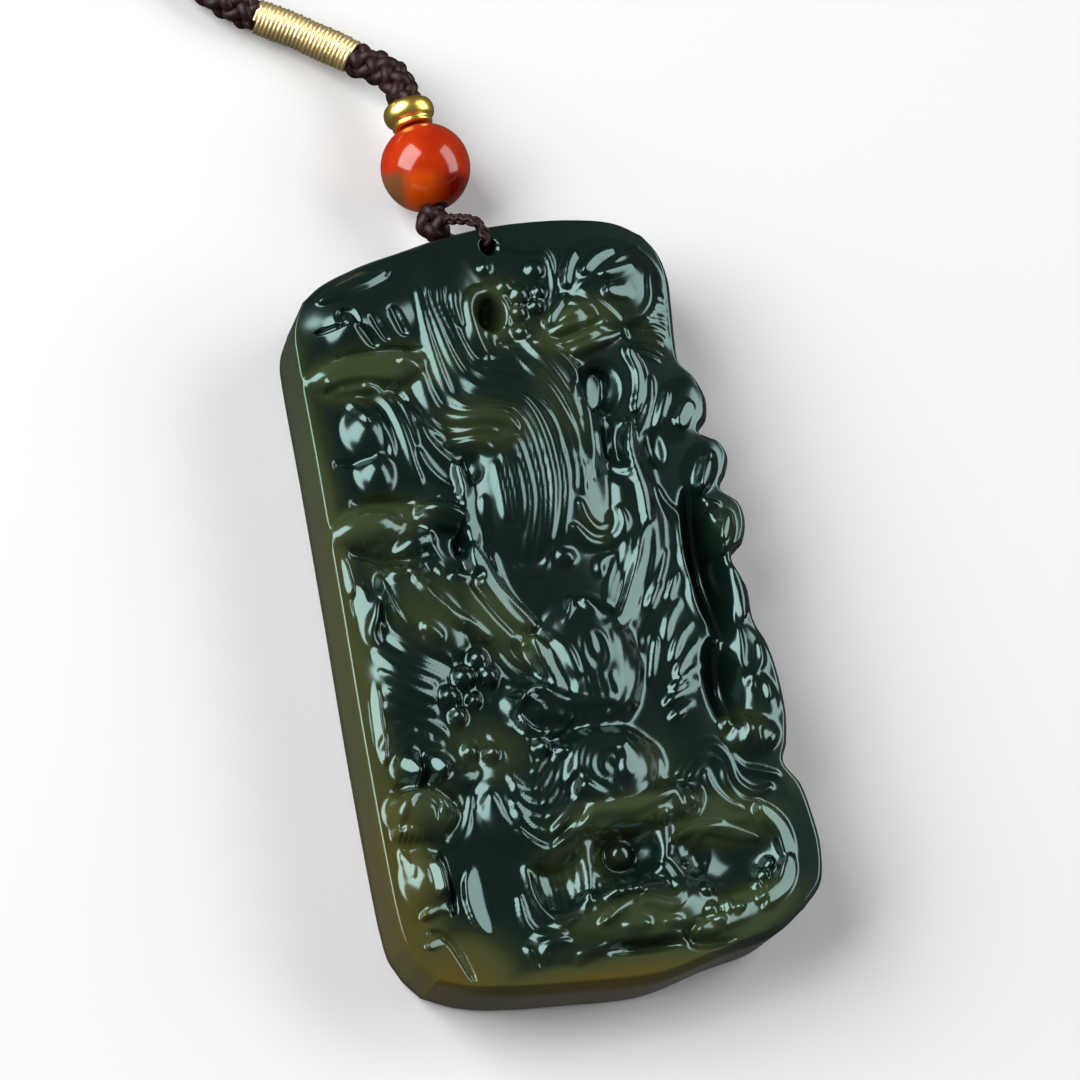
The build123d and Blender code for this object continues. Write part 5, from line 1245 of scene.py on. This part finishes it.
# Lower braid. A thick round plait of eight dark nylon strands, from the spacer to the gold binding.
# It comes down from the bead's height to lie on the table.
on_table = 1.65
braid_start = bead_centre + string_way * (spacer_foot + lip_height + ring_height + 0.06)
braid_route = [
    braid_start,
    braid_start + 2.0 * string_way,
    braid_start + Vector((-1.0, 3.7, -0.8)),
    Vector((-4.8, 52.6, on_table + 0.85)),
    Vector((-9.0, 56.2, on_table)),
    Vector((-15.8, 59.9, on_table)),
    Vector((-19.0, 63.6, on_table)),
    Vector((-20.9, 68.9, on_table)),
    Vector((-24.6, 74.4, on_table + 0.4)),
    Vector((-30.0, 78.5, 3.15)),
]
braid_diameter = 3.3
braid_pitch = 7.5 * mm
lower_places = [*braid_route[:4], braid_route[3].lerp(braid_route[4], 0.22)]
lower_braid = plait(
    "lower_plait", lower_places, braid_diameter, 4, braid_pitch, 0.12 * mm, dark_cord, sides=10,
)
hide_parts("braid_lower")

# Gold binding. Metallic thread wound tightly round the braid, turn against turn. The plait inside
# shows through as soft bulges.
gold_thread = bpy.data.materials.new("metallic_thread")
tree, shader, add = shader_of(gold_thread)
place = add("ShaderNodeTexCoord").outputs["Object"]
glint = add("ShaderNodeTexNoise", Vector=place, Scale=2600.0, Detail=3.0).outputs["Fac"]
colour = ramp(add, glint, [(0.3, (0.86, 0.64, 0.24)), (0.7, (1.0, 0.90, 0.58))])
tree.links.new(colour, shader.inputs["Base Color"])
shader.inputs["Metallic"].default_value = 1
shader.inputs["Roughness"].default_value = 0.42
dented(tree, add, shader, glint, 0.05 * mm, 0.8)

wrap_diameter, wrap_thread, wrap_pitch, wrap_core = 3.3, 0.42, 0.40, 2.6
bulge_height, bulge_pitch = 0.05, 0.95
wrap_places = [
    braid_route[3].lerp(braid_route[4], 0.23), braid_route[4], braid_route[4].lerp(braid_route[5], 0.66),
]
points, even = route_points(wrap_places, 0.02 * mm)
across, up = frames_along(points)
angle = 2 * np.pi * even / (wrap_pitch * mm)
bulge = bulge_height * np.cos(2 * np.pi * even / (bulge_pitch * mm) + 2 * np.sin(angle / 2))
radius = ((wrap_diameter - wrap_thread) / 2 - bulge_height + bulge) * mm
winding = points + radius[:, None] * (np.cos(angle)[:, None] * across + np.sin(angle)[:, None] * up)
wrap = tubes("wound_gold", [(winding, wrap_thread * mm), (points[::10], wrap_core * mm)], gold_thread)
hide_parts("gold_wrap")

# Upper braid. The same plait of dark strands beyond the binding, lying on the table up to the knot
# where it divides.
upper_places = [braid_route[4].lerp(braid_route[5], 0.67), *braid_route[5:]]
upper_braid = plait("upper_plait", upper_places, braid_diameter, 4, braid_pitch, 0.14 * mm, dark_cord)
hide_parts("braid_upper")

# Divide knot. A round knot of the same dark strands, tied where the braid becomes the two neck
# cords.
divide = braid_route[-1]
divide_way = (divide - braid_route[-2]).normalized()
divide_route = ball_route(divide, 3, divide_way)
divide_knot = plait("round_knot", divide_route, 5.9, 4, 11 * mm, 0.12 * mm, dark_cord, domed=True)
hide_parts("cord_knot")

# Neck cord. Two thinner round plaits of the same strands, which leave the knot, lie in a wide loop
# on the table and meet at the nape.
neck_level = 1.2
nape = Vector((-168.5, 207.5, neck_level))
neck_routes = {
    "neck_cord_left": [
        divide, (-50.5, 78.5, neck_level), (-75.7, 70.6, neck_level), (-106.0, 64.6, neck_level),
        (-140.7, 69.8, neck_level), (-170.4, 87.7, neck_level), (-189.2, 120.4, neck_level),
        (-192.0, 157.0, neck_level), (-185.0, 190.0, neck_level), nape,
    ],
    "neck_cord_right": [
        divide, (-31.4, 99.0, neck_level), (-23.8, 124.7, neck_level), (-19.3, 156.0, neck_level),
        (-26.8, 189.0, neck_level), (-47.5, 218.0, neck_level), (-81.4, 234.4, neck_level),
        (-119.0, 236.0, neck_level), (-152.0, 225.0, neck_level), nape + Vector((0.06, 0.06, 0)),
    ],
}
for node, places in neck_routes.items():
    neck_plait = plait(f"{node}_plait", places, 2.4, 4, 5.6 * mm, 0.3 * mm, dark_cord)
    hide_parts(node)

# Setting. A pale table, two soft boxes left and right of the camera, an even light all round, and
# the camera where it stood, looking steeply down.
bm = bmesh.new()
bmesh.ops.create_grid(bm, x_segments=1, y_segments=1, size=3)
floor_mesh = bpy.data.meshes.new("table_top")
bm.to_mesh(floor_mesh)
bm.free()
floor = bpy.data.objects.new("table_top", floor_mesh)
bpy.context.scene.collection.objects.link(floor)
pale = bpy.data.materials.new("pale_table")
tree, shader, add = shader_of(pale)
shader.inputs["Base Color"].default_value = (0.60, 0.60, 0.60, 1)
shader.inputs["Roughness"].default_value = 0.9
floor_mesh.materials.append(pale)
floor.visible_glossy = False

aim = Vector((0, 10 * mm, 5 * mm))
Softbox = namedtuple("Softbox", "towards tall_way distance width height radiance")
softboxes = {
    "left_softbox": Softbox((-0.758, 0.33, 0.562), (0.61, 0.67, 0.43), 0.7, 0.55, 0.73, 9),
    "right_softbox": Softbox((0.812, 0.057, 0.582), (-0.41, 0.84, 0.36), 0.7, 0.37, 0.74, 5.5),
}
for name, box in softboxes.items():
    light = bpy.data.lights.new(name, "AREA")
    light.shape = "RECTANGLE"
    light.size, light.size_y = box.width, box.height
    light.energy = box.radiance * np.pi * box.width * box.height
    lamp = bpy.data.objects.new(name, light)
    towards = Vector(box.towards).normalized()
    wide_way = Vector(box.tall_way).cross(towards).normalized()
    turn = Matrix((wide_way, towards.cross(wide_way), towards)).transposed()
    lamp.matrix_world = Matrix.Translation(aim + towards * box.distance) @ turn.to_4x4()
    bpy.context.scene.collection.objects.link(lamp)

world = bpy.data.worlds.new("studio")
world.use_nodes = True
tree = world.node_tree
sky_place = tree.nodes.new("ShaderNodeTexCoord")
sky_height = tree.nodes.new("ShaderNodeSeparateXYZ")
sky_share = tree.nodes.new("ShaderNodeMapRange")
tree.links.new(sky_place.outputs["Generated"], sky_height.inputs["Vector"])
tree.links.new(sky_height.outputs["Z"], sky_share.inputs["Value"])
for name, value in (("From Min", -0.1), ("From Max", 0.1), ("To Min", 0.085), ("To Max", 0.10)):
    sky_share.inputs[name].default_value = value
tree.links.new(sky_share.outputs["Result"], tree.nodes["Background"].inputs["Strength"])
tree.nodes["Background"].inputs["Color"].default_value = (1, 1, 1, 1)
bpy.context.scene.world = world
bpy.context.scene.view_settings.view_transform = "Standard"

camera_place = Vector((-89.7, -80.8, 299.3)) * mm
camera_right = Vector((0.9493, -0.2097, 0.2341))
camera_up = Vector((0.1361, 0.9457, 0.2950))
camera_data = bpy.data.cameras.new("camera")
camera_data.sensor_width = 36
camera_data.lens = 123.2
camera_data.shift_x = -0.0111
camera_data.shift_y = 0.0759
camera_data.clip_start = 0.01
camera = bpy.data.objects.new("camera", camera_data)
camera_back = camera_right.cross(camera_up).normalized()
turn = Matrix((camera_right, camera_up, camera_back)).transposed()
camera.matrix_world = Matrix.Translation(camera_place) @ turn.to_4x4()
bpy.context.scene.collection.objects.link(camera)
bpy.context.scene.camera = camera
